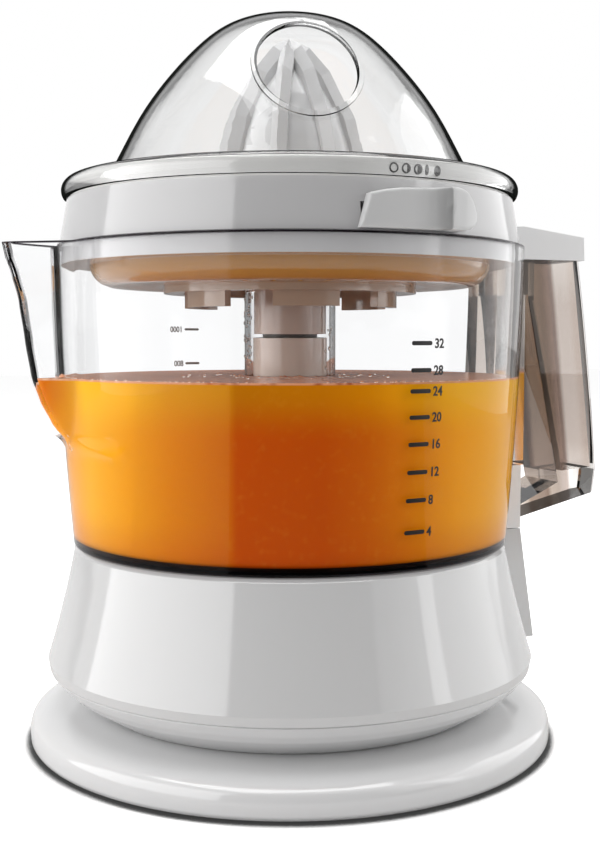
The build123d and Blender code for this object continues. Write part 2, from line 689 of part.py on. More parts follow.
def handle_cap():
    """White cap, hollow below, that closes the handle's top."""
    low = RIM_Z - RIM_TO_CAP
    outer_r = GRIP_TOP_R + CAP_OVERHANG
    outline = [
        (CAP_INNER_R, low),
        (outer_r, low),
        (outer_r - CAP_OVERHANG / 2, low + CAP_H - CAP_FALL),
        (CAP_PEAK_R, low + CAP_H),
        (CAP_INNER_R, low + CAP_H - CAP_OVERHANG / 2),
    ]
    cap = slab(outline, CAP_HALF_W)
    cap = fillet(cap.edges().group_by(Axis.Z)[-1] + cap.edges().filter_by(Axis.Z), CAP_EDGE_R)
    roof_z = low + CAP_H - CAP_WALL
    hollow = slab(
        [
            (CAP_INNER_R + CAP_WALL, low),
            (outer_r - CAP_WALL, low),
            (outer_r - CAP_WALL - CAP_OVERHANG / 2, roof_z - CAP_FALL),
            (CAP_PEAK_R, roof_z),
            (CAP_INNER_R + CAP_WALL, roof_z - CAP_OVERHANG / 2),
        ],
        CAP_HALF_W - CAP_WALL,
    )
    return cap - hollow


# Collector and pulp control -----------------------------------------------------------------


def collar_skin(gap=0.0):
    """The collar's flared outside, as a full solid."""
    return lathe(
        Line((0, COLLAR_Z - 1), (COLLAR_FOOT_R + gap, COLLAR_Z - 1)),
        Line((COLLAR_FOOT_R + gap, COLLAR_Z - 1), (COLLAR_FOOT_R + gap, COLLAR_Z)),
        ThreePointArc(
            (COLLAR_FOOT_R + gap, COLLAR_Z),
            (COLLAR_MID_R + gap, (COLLAR_Z + COLLAR_TOP_Z) / 2),
            (COLLAR_TOP_R + gap, COLLAR_TOP_Z),
        ),
        Polyline((COLLAR_TOP_R + gap, COLLAR_TOP_Z), (0, COLLAR_TOP_Z), (0, COLLAR_Z - 1)),
    )


def radial_slots(low, high):
    """Both rows of slots, as cutters."""
    cutters = []
    for inner, outer, count in (OUTER_SLOTS, INNER_SLOTS):
        bar = Pos((inner + outer) / 2, 0, (low + high) / 2) * Box(outer - inner, SLOT_W, high - low)
        cutters += fan(bar, count)
    return cutters


def collector():
    """Collar and rim over a stepped bowl with a slotted floor, a hub and a ring of tabs below."""
    skirt_z = COLLAR_Z - SKIRT_H
    step_z = skirt_z + COLLAR_WALL
    inner_r = COLLAR_FOOT_R - COLLAR_WALL
    body = lathe(
        Polyline((HUB_R - 2.4, BOWL_Z), (FLOOR_R, BOWL_Z)),
        ThreePointArc((FLOOR_R, BOWL_Z), (BOWL_R - 2.0, BOWL_Z + 2.3), (BOWL_R, skirt_z)),
        Polyline((BOWL_R, skirt_z), (SKIRT_R, skirt_z), (SKIRT_R, COLLAR_Z), (COLLAR_FOOT_R, COLLAR_Z)),
        ThreePointArc(
            (COLLAR_FOOT_R, COLLAR_Z),
            (COLLAR_MID_R, (COLLAR_Z + COLLAR_TOP_Z) / 2),
            (COLLAR_TOP_R, COLLAR_TOP_Z),
        ),
        Polyline((COLLAR_TOP_R, COLLAR_TOP_Z), (RIM_R, COLLAR_TOP_Z), (RIM_R, CROWN_Z)),
        Polyline((RIM_R, CROWN_Z), (RIM_R - COLLAR_WALL, CROWN_Z), (RIM_R - COLLAR_WALL, COLLAR_TOP_Z + 1)),
        Line((RIM_R - COLLAR_WALL, COLLAR_TOP_Z + 1), (COLLAR_TOP_R - COLLAR_WALL, COLLAR_TOP_Z - 1)),
        Line((COLLAR_TOP_R - COLLAR_WALL, COLLAR_TOP_Z - 1), (inner_r, COLLAR_Z + 1)),
        Polyline((inner_r, COLLAR_Z + 1), (inner_r - 2, step_z), (BOWL_R - COLLAR_WALL, step_z)),
        ThreePointArc(
            (BOWL_R - COLLAR_WALL, step_z), (BOWL_R - 3.6, FLOOR_Z + 2.1), (FLOOR_R, FLOOR_Z)
        ),
        Polyline((FLOOR_R, FLOOR_Z), (HUB_R, FLOOR_Z), (HUB_R, HUB_Z), (HUB_R - 2.4, HUB_Z)),
        Line((HUB_R - 2.4, HUB_Z), (HUB_R - 2.4, BOWL_Z)),
    )
    body += ring(RING_R - RING_WALL, RING_R, BOWL_Z - RING_DROP, BOWL_Z)
    tab = lathe(
        Polyline(
            (RING_R - RING_WALL - TAB_WALL, BOWL_Z - TAB_DROP),
            (RING_R - RING_WALL, BOWL_Z - TAB_DROP),
            (RING_R - RING_WALL, BOWL_Z),
            (RING_R - RING_WALL - TAB_WALL, BOWL_Z),
            close=True,
        ),
        arc=TAB_SPAN,
    )
    body += fan(tab, TAB_COUNT)
    body -= radial_slots(BOWL_Z - RING_DROP, FLOOR_Z)
    slot_z = COLLAR_Z + NECK_UP - LIFT_GAP
    slot_top = slot_z + NECK_H + 2 * LIFT_GAP
    slot_span = NECK_TO - NECK_FROM + LEVER_TRAVEL + 1.0
    slot_inner_r = RIM_R - 2 * COLLAR_WALL
    slot_outer_r = COLLAR_FOOT_R + COLLAR_WALL
    window = lathe(
        Polyline(
            (slot_inner_r, slot_z),
            (slot_outer_r, slot_z),
            (slot_outer_r, slot_top),
            (slot_inner_r, slot_top),
            close=True,
        ),
        arc=slot_span,
    )
    return body - Rot(0, 0, NECK_FROM - LEVER_TRAVEL - 0.5 - 90) * window


def pulp_basket():
    """Thin basket that lies in the bowl and turns, with slots over the bowl's slots."""
    low = FLOOR_Z + LIFT_GAP
    high = low + BASKET_T
    step_z = COLLAR_Z - SKIRT_H + COLLAR_WALL + LIFT_GAP
    wall_r = BOWL_R - COLLAR_WALL - LIFT_GAP
    band_z = step_z + BASKET_BAND_H
    hub_r = HUB_R + LIFT_GAP
    hub_z = HUB_Z - BASKET_HUB_DROP
    basket = lathe(
        Polyline((hub_r, low), (FLOOR_R - 1.2, low), (wall_r - 2.6, low + 2.4), (wall_r, step_z)),
        Polyline((wall_r, step_z), (BASKET_BAND_R, step_z), (BASKET_BAND_R, band_z)),
        Line((BASKET_BAND_R, band_z), (BASKET_BAND_R - BASKET_T, band_z)),
        Line((BASKET_BAND_R - BASKET_T, band_z), (BASKET_BAND_R - BASKET_T, step_z + BASKET_T)),
        Line((BASKET_BAND_R - BASKET_T, step_z + BASKET_T), (wall_r - BASKET_T, step_z + BASKET_T)),
        Polyline((wall_r - BASKET_T, step_z + BASKET_T), (wall_r - 4.2, low + 3.6), (FLOOR_R - 2.6, high)),
        Polyline((FLOOR_R - 2.6, high), (hub_r + BASKET_T, high), (hub_r + BASKET_T, hub_z)),
        Polyline((hub_r + BASKET_T, hub_z), (hub_r, hub_z), (hub_r, low)),
    )
    return basket - radial_slots(low, high)


def bearing_point(radius, bearing):
    """Plan point at a radius and a bearing from -Y towards +X."""
    angle = math.radians(bearing - 90)
    return (radius * math.cos(angle), radius * math.sin(angle))


def pulp_lever():
    """Thumb lever outside the collar: scoop, ridge and pad, on a neck through the wall."""
    low = COLLAR_Z + LEVER_FOOT_UP
    inner = COLLAR_TOP_R - 1
    plan = Polyline(
        bearing_point(inner, LEVER_FROM),
        bearing_point(LEVER_EDGE_R, LEVER_FROM),
        bearing_point(LEVER_EDGE_R + 0.6, LEVER_RIDGE - 8),
        bearing_point(LEVER_RIDGE_R, LEVER_RIDGE - 1.4),
        bearing_point(LEVER_RIDGE_R, LEVER_RIDGE + 1.0),
        bearing_point(LEVER_EDGE_R + 3.4, LEVER_TO - 4),
        bearing_point(LEVER_EDGE_R + 1.4, LEVER_TO),
        bearing_point(inner, LEVER_TO),
        close=True,
    )
    lever = Pos(0, 0, low) * extrude(make_face(plan), LEVER_H)
    lever = chamfer(lever.edges().group_by(Axis.Z)[-1], 1.0)
    lever -= collar_skin(LIFT_GAP)
    neck_z = COLLAR_Z + NECK_UP
    neck = lathe(
        Polyline(
            (BASKET_BAND_R, neck_z),
            (COLLAR_FOOT_R + 1.5, neck_z),
            (COLLAR_FOOT_R + 1.5, neck_z + NECK_H),
            (BASKET_BAND_R, neck_z + NECK_H),
            close=True,
        ),
        arc=NECK_TO - NECK_FROM,
    )
    return lever + Rot(0, 0, NECK_FROM - 90) * neck


# Reamer and cover ---------------------------------------------------------------------------


def drive_sleeve():
    """Flanged sleeve that turns in the collector's hub and guides the shaft's hexagon."""
    top_z = FLANGE_Z + SLEEVE_FLANGE_T
    sleeve = ring(0, SLEEVE_R, SLEEVE_Z, FLANGE_Z) + ring(0, SLEEVE_FLANGE_R, FLANGE_Z, top_z)
    return sleeve - hexagon(SLEEVE_Z, top_z, HEX_GAP)


def cone_edge(radius, height, low, inset=0.0):
    """Bulging cone outline from its foot to its tip, as points in radius and height."""
    shares = ((1.0, 0.0), (0.79, 0.36), (0.66, 0.6), (0.41, 0.84), (0.2, 0.955), (0.0, 1.0))
    return [(max(radius * r - inset * (r > 0), 0.0), low + (height - inset) * h) for r, h in shares]


def cone_core(radius, height, low, inset):
    """Smooth round cone."""
    points = cone_edge(radius, height, low, inset)
    foot = points[0]
    return lathe(Spline(*points), Polyline(points[-1], (0, foot[1]), foot))


def cone_ribs(radius, height, low, count, turn):
    """Sharp-crested ribs up the cone's side."""
    points = [(r, z) for r, z in cone_edge(radius, height, low)]
    blade = Plane.XZ * make_face(Polyline(*points, (0, low), close=True))
    rib = extrude(blade, RIB_HALF_W, both=True, taper=50)
    return fan(rib & post(0, 0, radius + 1, low, low + height), count, turn)


def reamer(radius, height, low, turn):
    return cone_core(radius, height, low, RIB_DEPTH) + cone_ribs(radius, height, low, RIB_COUNT, turn)


def small_cone():
    """Ribbed cone for small fruit, hollow below, with a socket on the shaft's tip."""
    cone = reamer(SMALL_CONE_R, SMALL_CONE_H, CONE_Z, RIB_TURN)
    cone -= cone_core(SMALL_CONE_R - RIB_DEPTH, SMALL_CONE_H - 3 * CONE_WALL, CONE_Z, CONE_WALL)
    cone += ring(0, SOCKET_R, CONE_Z, CONE_Z + SMALL_CONE_H - 4 * CONE_WALL)
    return cone - hexagon(CONE_Z, SHAFT_TOP_Z + LIFT_GAP, HEX_GAP)


def large_cone():
    """Ribbed cone for large fruit, a shell that drops over the small cone."""
    cone = reamer(LARGE_CONE_R, LARGE_CONE_H, LARGE_CONE_Z, RIB_TURN)
    inside_h = SMALL_CONE_H + (CONE_Z - LARGE_CONE_Z) + LIFT_GAP
    hollow = cone_core(SMALL_CONE_R + CONE_GAP, inside_h, LARGE_CONE_Z, 0)
    return cone - hollow


def dome_skin(inset):
    """The cover's outside, or its inside when inset by the wall."""
    apex_z = COVER_Z + COVER_H
    flange_z = COVER_Z + COVER_WALL
    points = [(DOME_FOOT_R * r - inset * 0.9, COVER_Z + COVER_H * h - inset * 0.6) for r, h in DOME_SHARES]
    dome = Spline(
        (DOME_FOOT_R - inset, flange_z - inset),
        *points,
        (0, apex_z - inset),
        tangents=((-0.5, 0.86), (-1, 0)),
    )
    return lathe(
        dome,
        Polyline((0, apex_z - inset), (0, COVER_Z - inset), (DOME_FOOT_R - inset, COVER_Z - inset)),
        Line((DOME_FOOT_R - inset, COVER_Z - inset), (DOME_FOOT_R - inset, flange_z - inset)),
    )


def dust_cover():
    """Clear dome on a flange with a down-turned lip, and a round rimmed hole for a finger."""
    lip_z = COVER_Z - LIP_DROP
    inner_lip = RIM_R + LIFT_GAP
    flange = lathe(
        Polyline((0, COVER_Z), (inner_lip, COVER_Z), (inner_lip, lip_z), (LIP_R - 0.6, lip_z)),
        ThreePointArc(
            (LIP_R - 0.6, lip_z), (LIP_R, lip_z + 1.6), (COVER_FLANGE_R, COVER_Z + COVER_WALL)
        ),
        Polyline((COVER_FLANGE_R, COVER_Z + COVER_WALL), (0, COVER_Z + COVER_WALL), (0, COVER_Z)),
    )
    cover = dome_skin(0) + flange
    window = Pos(0, 0, COVER_Z + WINDOW_UP) * Rot(0, 0, WINDOW_AT) * Rot(90, 0, 0)
    bar = Cylinder(WINDOW_R + WINDOW_RIM, LIP_R, align=(Align.CENTER, Align.CENTER, Align.MIN))
    hole = Cylinder(WINDOW_R, LIP_R, align=(Align.CENTER, Align.CENTER, Align.MIN))
    cover += window * bar & dome_skin(-WINDOW_RIM_UP)
    return cover - dome_skin(COVER_WALL) - window * hole


os.makedirs("parts", exist_ok=True)

housing_screw_at = around(HOUSING_SCREW_R, HOUSING_SCREW_AT)
disc_screw_at = around(DISC_SCREW_R, DISC_SCREW_AT)
plate_screw_at = around(PLATE_SCREW_R, PLATE_SCREW_AT)

write(foot_disc(), "foot_disc")
write(foot_ring(), "foot_ring")
write(base_pan(), "base_pan")
write(motor_housing(), "motor_housing")
write(cord_gland(), "cord_gland")
write(screws(housing_screw_at, DISC_H + SHELL, SHELL + HOUSING_SCREW_L), "housing_screws")
write(screws(disc_screw_at, DISC_H / 2 - HEAD_H, DISC_H / 2 + SHELL + DISC_SCREW_L), "disc_screws")
write(screws(plate_screw_at, PLATE_Z - HEAD_H, PLATE_T + PLATE_SCREW_L), "plate_screws")
write(gear_plate(), "gear_plate")
write(motor_can(), "motor_can")
write(motor_cap(), "motor_cap")
write(stator_coil(), "stator_coil")
write(rotor(), "rotor")
write(idler_pin(), "idler_pin")
write(idler_gear(), "idler_gear")
write(shaft_gear(), "shaft_gear")
write(bush(PLATE_Z - BUSH_H + PLATE_T, HEX_AF), "lower_bush")
write(bush(TOWER_Z - BUSH_H, TOWER_BORE_R), "upper_bush")
write(drive_shaft(), "drive_shaft")
write(shaft_clip(), "shaft_clip")
write(return_spring(), "return_spring")
write(switch_body(), "switch_body")
write(switch_plunger(), "switch_plunger")
write(jug(), "jug")
write(handle(), "handle")
write(handle_cap(), "handle_cap")
write(handle_foot(), "handle_foot")
write(collector(), "collector")
write(pulp_basket(), "pulp_basket")
write(pulp_lever(), "pulp_lever")
write(drive_sleeve(), "drive_sleeve")
write(small_cone(), "small_cone")
write(large_cone(), "large_cone")
write(dust_cover(), "dust_cover")
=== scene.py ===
import math
import random

import bpy
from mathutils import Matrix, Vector


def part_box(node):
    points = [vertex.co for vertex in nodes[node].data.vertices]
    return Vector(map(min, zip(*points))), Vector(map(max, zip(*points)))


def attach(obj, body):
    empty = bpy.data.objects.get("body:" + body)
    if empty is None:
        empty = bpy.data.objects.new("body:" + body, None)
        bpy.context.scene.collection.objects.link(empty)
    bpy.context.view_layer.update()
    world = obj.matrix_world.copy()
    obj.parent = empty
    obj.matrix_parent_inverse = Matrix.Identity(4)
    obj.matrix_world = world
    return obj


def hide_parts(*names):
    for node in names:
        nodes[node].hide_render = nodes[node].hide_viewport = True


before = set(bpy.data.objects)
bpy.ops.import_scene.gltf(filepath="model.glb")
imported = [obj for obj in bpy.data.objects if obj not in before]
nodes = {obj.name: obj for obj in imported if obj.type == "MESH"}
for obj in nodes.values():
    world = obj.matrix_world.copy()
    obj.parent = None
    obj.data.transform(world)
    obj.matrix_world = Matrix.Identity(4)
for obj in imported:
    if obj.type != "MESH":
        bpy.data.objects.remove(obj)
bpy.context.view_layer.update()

scene = bpy.context.scene


# Camera: a short telephoto on a tripod, a little above the jug's middle and tipped slightly down,
# with the handle to its right and the spout to its left.
camera_turn = 22
camera_data = bpy.data.cameras.new("camera")
camera = bpy.data.objects.new("camera", camera_data)
scene.collection.objects.link(camera)
scene.camera = camera
camera_data.lens = 50.56
camera.location = (-0.1497, -0.3796, 0.1334)
camera.rotation_euler = (math.radians(90 - 4.2), 0, math.radians(-camera_turn))
scene.view_settings.view_transform = "Standard"


# Studio: a white sweep that the juicer stands on, a white surround, two tall soft boxes and a broad
# one overhead. A grey flag behind the camera leaves the middle of the glossy mouldings calm, with
# upright edges of light from the boxes to either side of it.
ambient = 0.2
# Reach and depth of the painted contact shadow on the floor.
contact_reach = 0.02
contact_dark, contact_clear = 0.595, 0.715
floor_glow = 0.75


def combined(tree, operation, first, second):
    """One arithmetic step between two outputs, or an output and a number."""
    node = tree.nodes.new("ShaderNodeMath")
    node.operation = operation
    for socket, given in zip(node.inputs, (first, second)):
        if isinstance(given, float):
            socket.default_value = given
        else:
            tree.links.new(given, socket)
    return node.outputs[0]


def ranged(tree, value, from_min=0.0, from_max=1.0, to_min=0.0, to_max=1.0, smooth=False):
    """Carries a value from one range to another."""
    node = tree.nodes.new("ShaderNodeMapRange")
    if smooth:
        node.interpolation_type = "SMOOTHSTEP"
    limits = {"From Min": from_min, "From Max": from_max, "To Min": to_min, "To Max": to_max}
    for socket, limit in limits.items():
        node.inputs[socket].default_value = limit
    tree.links.new(value, node.inputs["Value"])
    return node.outputs["Result"]


def mixed(tree, factor, first, second):
    """Blends two colours; each of the three is an output, a colour or a number."""
    node = tree.nodes.new("ShaderNodeMix")
    node.data_type = "RGBA"
    for socket, given in (("Factor", factor), ("A", first), ("B", second)):
        if isinstance(given, tuple):
            node.inputs[socket].default_value = (*given, 1)
        elif isinstance(given, float):
            node.inputs[socket].default_value = given
        else:
            tree.links.new(given, node.inputs[socket])
    return node


def own_axes(tree):
    """X, Y and Z of the piece itself, in metres."""
    place = tree.nodes.new("ShaderNodeTexCoord")
    split = tree.nodes.new("ShaderNodeSeparateXYZ")
    tree.links.new(place.outputs["Object"], split.inputs[0])
    return split.outputs


def background_rays(tree, mirrored=False):
    """1 for rays that see the background itself: from the camera, by reflection or through glass.

    Light that a matt surface gathers, or that clear plastic has mirrored inside itself, is left at
    the room's own level. The mirrored floor is too, unless asked for.
    """
    path = tree.nodes.new("ShaderNodeLightPath")
    seen = path.outputs["Is Camera Ray"]
    for kind in ("Is Glossy Ray", "Is Transmission Ray"):
        seen = combined(tree, "MAXIMUM", seen, path.outputs[kind])
    direct = combined(tree, "LESS_THAN", path.outputs["Diffuse Depth"], 0.5)
    seen = combined(tree, "MULTIPLY", seen, direct)
    inner = combined(tree, "GREATER_THAN", path.outputs["Glossy Depth"], 0.5)
    if mirrored:
        inner = combined(tree, "MULTIPLY", inner, path.outputs["Is Transmission Ray"])
    return combined(tree, "MULTIPLY", seen, combined(tree, "SUBTRACT", 1.0, inner))


world = bpy.data.worlds.new("studio")
scene.world = world
world.use_nodes = True
tree = world.node_tree
background = tree.nodes["Background"]
background.inputs["Color"].default_value = (1, 1, 1, 1)
level = ranged(tree, background_rays(tree, mirrored=True), to_min=ambient)
tree.links.new(level, background.inputs["Strength"])

bpy.ops.object.select_all(action="DESELECT")
bpy.ops.mesh.primitive_plane_add(size=8, location=(0, 0, 0))
floor = bpy.context.object
floor.name = "floor"
paper = bpy.data.materials.new("studio_paper")
paper.use_nodes = True
tree = paper.node_tree
shade = tree.nodes["Principled BSDF"]
shade.inputs["Roughness"].default_value = 0.9
shade.inputs["Specular IOR Level"].default_value = 0.1
shade.inputs["Emission Color"].default_value = (1, 1, 1, 1)
# Painted contact shadow: an ambient occlusion factor darkens the paper's colour and its glow near
# the juicer, on top of its real shadow.
under = tree.nodes.new("ShaderNodeAmbientOcclusion")
under.inputs["Distance"].default_value = contact_reach
painted_contact_shade_factor = ranged(tree, under.outputs["AO"], contact_dark, contact_clear, to_min=0.05)
lift = combined(tree, "MULTIPLY", background_rays(tree), painted_contact_shade_factor)
tree.links.new(combined(tree, "MULTIPLY", lift, floor_glow), shade.inputs["Emission Strength"])
paper_with_painted_contact_shade = mixed(tree, painted_contact_shade_factor, (0, 0, 0), (0.92, 0.92, 0.92))
tree.links.new(paper_with_painted_contact_shade.outputs["Result"], shade.inputs["Base Color"])
floor.data.materials.append(paper)


def soft_box(name, bearing, distance, low, high, width, luminance, fade=(1.0, 1.0)):
    """Adds an upright area lamp at a bearing from the front, which may fade across its width."""
    lamp = bpy.data.lights.new(name, "AREA")
    lamp.shape = "RECTANGLE"
    lamp.size = width
    lamp.size_y = high - low
    lamp.energy = luminance * math.pi * width * (high - low)
    lamp.use_nodes = True
    tree = lamp.node_tree
    surface = tree.nodes.new("ShaderNodeNewGeometry")
    split = tree.nodes.new("ShaderNodeSeparateXYZ")
    tree.links.new(surface.outputs["Parametric"], split.inputs[0])
    share = ranged(tree, split.outputs["X"], to_min=fade[0], to_max=fade[1])
    tree.links.new(share, tree.nodes["Emission"].inputs["Strength"])
    holder = bpy.data.objects.new(name, lamp)
    turn = math.radians(bearing)
    holder.location = (distance * math.sin(turn), -distance * math.cos(turn), (low + high) / 2)
    holder.rotation_euler = (math.radians(90), 0, turn)
    scene.collection.objects.link(holder)
    return holder


soft_box("left_box", -85, 1.0, 0.0, 1.15, 1.5, 1.5, fade=(1.45, 0.6))
soft_box("right_box", 77, 1.0, 0.0, 1.15, 1.4, 1.15, fade=(0.3, 1.3))
soft_box("front_fill", 30, 0.78, 0.1, 1.1, 0.6, 0.95, fade=(0.05, 1.6))
top_box = soft_box("top_box", 0, 0.0, 0.0, 0.9, 0.9, 2.7)
top_box.location = (0, 0.1, 1.1)
top_box.rotation_euler = (0, 0, 0)

flag_r, flag_h = 0.8, 1.1
flag_from, flag_to = -48, 42
card_r = 0.2


def arc_panel(name, reach, drawn):
    """Sheet swept round the front of the set from an edge that starts at a reach from the shaft."""
    start = math.radians(flag_to)
    out = Vector((math.sin(start), -math.cos(start), 0))
    bpy.ops.object.select_all(action="DESELECT")
    bpy.ops.mesh.primitive_plane_add(size=0.01)
    panel = bpy.context.object
    panel.name = name
    bpy.ops.object.mode_set(mode="EDIT")
    bpy.ops.mesh.merge(type="CENTER")
    bpy.ops.transform.translate(value=out * reach + Vector((0, 0, 0.002)))
    sweep = out * drawn.x + Vector((0, 0, drawn.z))
    bpy.ops.mesh.extrude_region_move(TRANSFORM_OT_translate={"value": sweep})
    bpy.ops.mesh.select_all(action="SELECT")
    turn = math.radians(flag_to - flag_from)
    bpy.ops.mesh.spin(steps=24, angle=turn, center=(0, 0, 0), axis=(0, 0, 1))
    bpy.ops.object.mode_set(mode="OBJECT")
    panel.visible_camera = False
    panel.visible_transmission = False
    return panel


cloth = bpy.data.materials.new("flag_cloth")
cloth.use_nodes = True
tree = cloth.node_tree
shade = tree.nodes["Principled BSDF"]
shade.inputs["Base Color"].default_value = (0.1, 0.1, 0.1, 1)
shade.inputs["Roughness"].default_value = 0.9
shade.inputs["Specular IOR Level"].default_value = 0.0
grey_flag = arc_panel("grey_flag", flag_r, Vector((0, 0, flag_h)))
grey_flag.data.materials.append(cloth)
floor_card = arc_panel("floor_card", card_r, Vector((flag_r - card_r, 0, 0)))
floor_card.data.materials.append(cloth)
floor_card.visible_diffuse = False
floor_card.visible_shadow = False


# Foot disc: one thick white moulding, hollow below. The housing stands on its flat middle, and its
# crown falls to a rounded rim that catches the light.
def eased(corners, steps=6):
    """Outline in millimetres, each (radius, height, rounding) corner turned into a soft bend."""
    points = []
    count = len(corners)
    for i, corner in enumerate(corners):
        here = Vector(corner[:2])
        rounding = corner[2] if len(corner) > 2 else 0
        before = Vector(corners[i - 1][:2]) - here
        after = Vector(corners[(i + 1) % count][:2]) - here
        if rounding == 0 or before.length < 1e-6 or after.length < 1e-6:
            points.append(here)
            continue
        start = before.normalized() * min(rounding, before.length * 0.49)
        end = after.normalized() * min(rounding, after.length * 0.49)
        for step in range(steps + 1):
            t = step / steps
            points.append(here + start * (1 - t) ** 2 + end * t**2)
    return points


def edited_alone(piece):
    """Selects one piece with all its points and starts to edit it."""
    bpy.ops.object.select_all(action="DESELECT")
    piece.select_set(True)
    bpy.context.view_layer.objects.active = piece
    bpy.ops.object.mode_set(mode="EDIT")
    bpy.ops.mesh.select_all(action="SELECT")


def turned(name, foot, corners, steps=192, ease=28):
    """Draws a closed outline out of one corner and spins it about the shaft, from a foot height."""
    points = [Vector((p.x, 0, p.y)) * 0.001 + Vector((0, 0, foot)) for p in eased(corners)]
    points.append(points[0])
    bpy.ops.object.select_all(action="DESELECT")
    bpy.ops.mesh.primitive_plane_add(size=0.01)
    piece = bpy.context.object
    piece.name = name
    bpy.ops.object.mode_set(mode="EDIT")
    bpy.ops.mesh.merge(type="CENTER")
    bpy.ops.transform.translate(value=points[0])
    for here, there in zip(points, points[1:]):
        bpy.ops.mesh.extrude_region_move(TRANSFORM_OT_translate={"value": there - here})
    bpy.ops.mesh.select_all(action="SELECT")
    bpy.ops.mesh.remove_doubles(threshold=2e-6)
    bpy.ops.mesh.spin(steps=steps, angle=math.tau, center=(0, 0, 0), axis=(0, 0, 1))
    bpy.ops.mesh.select_all(action="SELECT")
    bpy.ops.mesh.remove_doubles(threshold=2e-6)
    bpy.ops.mesh.normals_make_consistent(inside=False)
    bpy.ops.object.mode_set(mode="OBJECT")
    bpy.ops.object.shade_smooth_by_angle(angle=math.radians(ease))
    return piece


def handled_surface():
    """Shader group for used plastic: faint mottling, fine rubbed hairlines and mould ripple."""
    group = bpy.data.node_groups.new("handled_surface", "ShaderNodeTree")
    for socket, value in (("Ripple Scale", 60.0), ("Hairline Scale", 900.0), ("Wear", 0.5)):
        made = group.interface.new_socket(socket, in_out="INPUT", socket_type="NodeSocketFloat")
        made.default_value = value
    for socket in ("Mottle", "Rub", "Height"):
        group.interface.new_socket(socket, in_out="OUTPUT", socket_type="NodeSocketFloat")
    entry = group.nodes.new("NodeGroupInput")
    leave = group.nodes.new("NodeGroupOutput")
    place = group.nodes.new("ShaderNodeTexCoord")
    ripple = group.nodes.new("ShaderNodeTexNoise")
    ripple.inputs["Detail"].default_value = 2.0
    group.links.new(place.outputs["Object"], ripple.inputs["Vector"])
    group.links.new(entry.outputs["Ripple Scale"], ripple.inputs["Scale"])
    stretch = group.nodes.new("ShaderNodeMapping")
    stretch.inputs["Scale"].default_value = (1.0, 1.0, 0.08)
    group.links.new(place.outputs["Object"], stretch.inputs["Vector"])
    hairline = group.nodes.new("ShaderNodeTexNoise")
    hairline.inputs["Detail"].default_value = 4.0
    hairline.inputs["Roughness"].default_value = 0.65
    group.links.new(stretch.outputs["Vector"], hairline.inputs["Vector"])
    group.links.new(entry.outputs["Hairline Scale"], hairline.inputs["Scale"])
    rub = ranged(group, hairline.outputs["Fac"], 0.52, 0.78)
    group.links.new(ripple.outputs["Fac"], leave.inputs["Mottle"])
    group.links.new(combined(group, "MULTIPLY", rub, entry.outputs["Wear"]), leave.inputs["Rub"])
    group.links.new(ripple.outputs["Fac"], leave.inputs["Height"])
    return group


handled = handled_surface()


def moulded(name, colour, shade_colour, polish, wear=0.4, ripple=60.0, glare=0.5):
    """Opaque plastic: two close tones, rubbed hairlines that dull the gloss, and mould ripple."""
    material = bpy.data.materials.new(name)
    material.use_nodes = True
    tree = material.node_tree
    shader = tree.nodes["Principled BSDF"]
    surface = tree.nodes.new("ShaderNodeGroup")
    surface.node_tree = handled
    surface.inputs["Ripple Scale"].default_value = ripple
    surface.inputs["Wear"].default_value = wear
    shader.inputs["Specular IOR Level"].default_value = glare
    tone = mixed(tree, surface.outputs["Mottle"], shade_colour, colour)
    tone.name = "wall_tone"
    tree.links.new(tone.outputs["Result"], shader.inputs["Base Color"])
    gloss = ranged(tree, surface.outputs["Rub"], to_min=polish, to_max=polish + 0.2)
    tree.links.new(gloss, shader.inputs["Roughness"])
    bump = tree.nodes.new("ShaderNodeBump")
    bump.inputs["Strength"].default_value = 0.04
    bump.inputs["Distance"].default_value = 0.0004
    tree.links.new(surface.outputs["Height"], bump.inputs["Height"])
    tree.links.new(bump.outputs["Normal"], shader.inputs["Normal"])
    return material


def dressed(piece, body, material, slot, *replaced):
    """Gives a finished piece its material and body, and hides the CAD nodes that it stands for."""
    piece.data.materials.clear()
    piece.data.materials.append(material)
    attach(piece, body)
    if replaced:
        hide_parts(*replaced)
    return piece


white = moulded("white_housing_plastic", (0.75, 0.75, 0.75), (0.73, 0.73, 0.735), 0.08, glare=1.0)
disc_low, disc_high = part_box("foot_disc")
disc_r = disc_high.x * 1000
disc_h = (disc_high.z - disc_low.z) * 1000
disc = turned(
    "foot_disc_moulding",
    disc_low.z,
    [
        (0, disc_h),
        (disc_r - 18, disc_h, 6),
        (disc_r - 7.5, disc_h - 1.2, 5),
        (disc_r - 1.2, disc_h - 3.4, 3.5),
        (disc_r, disc_h - 6.5, 2.5),
        (disc_r, 1.0, 0.6),
        (disc_r - 0.6, 0, 0.3),
        (disc_r - 2.4, 0, 0.3),
        (disc_r - 2.6, disc_h - 5, 1),
        (disc_r - 12, disc_h - 2.6, 1),
        (0, disc_h - 2.6),
    ],
)
# Painted light: the disc is a lighter copy of the housing's white plastic, so that its top reads
# brightly lit.
disc_white_painted_light = moulded("white_disc_plastic", (0.88, 0.88, 0.88), (0.86, 0.86, 0.865), 0.08, glare=1.0)
dressed(disc, "base", disc_white_painted_light, "white_plastic", "foot_disc")


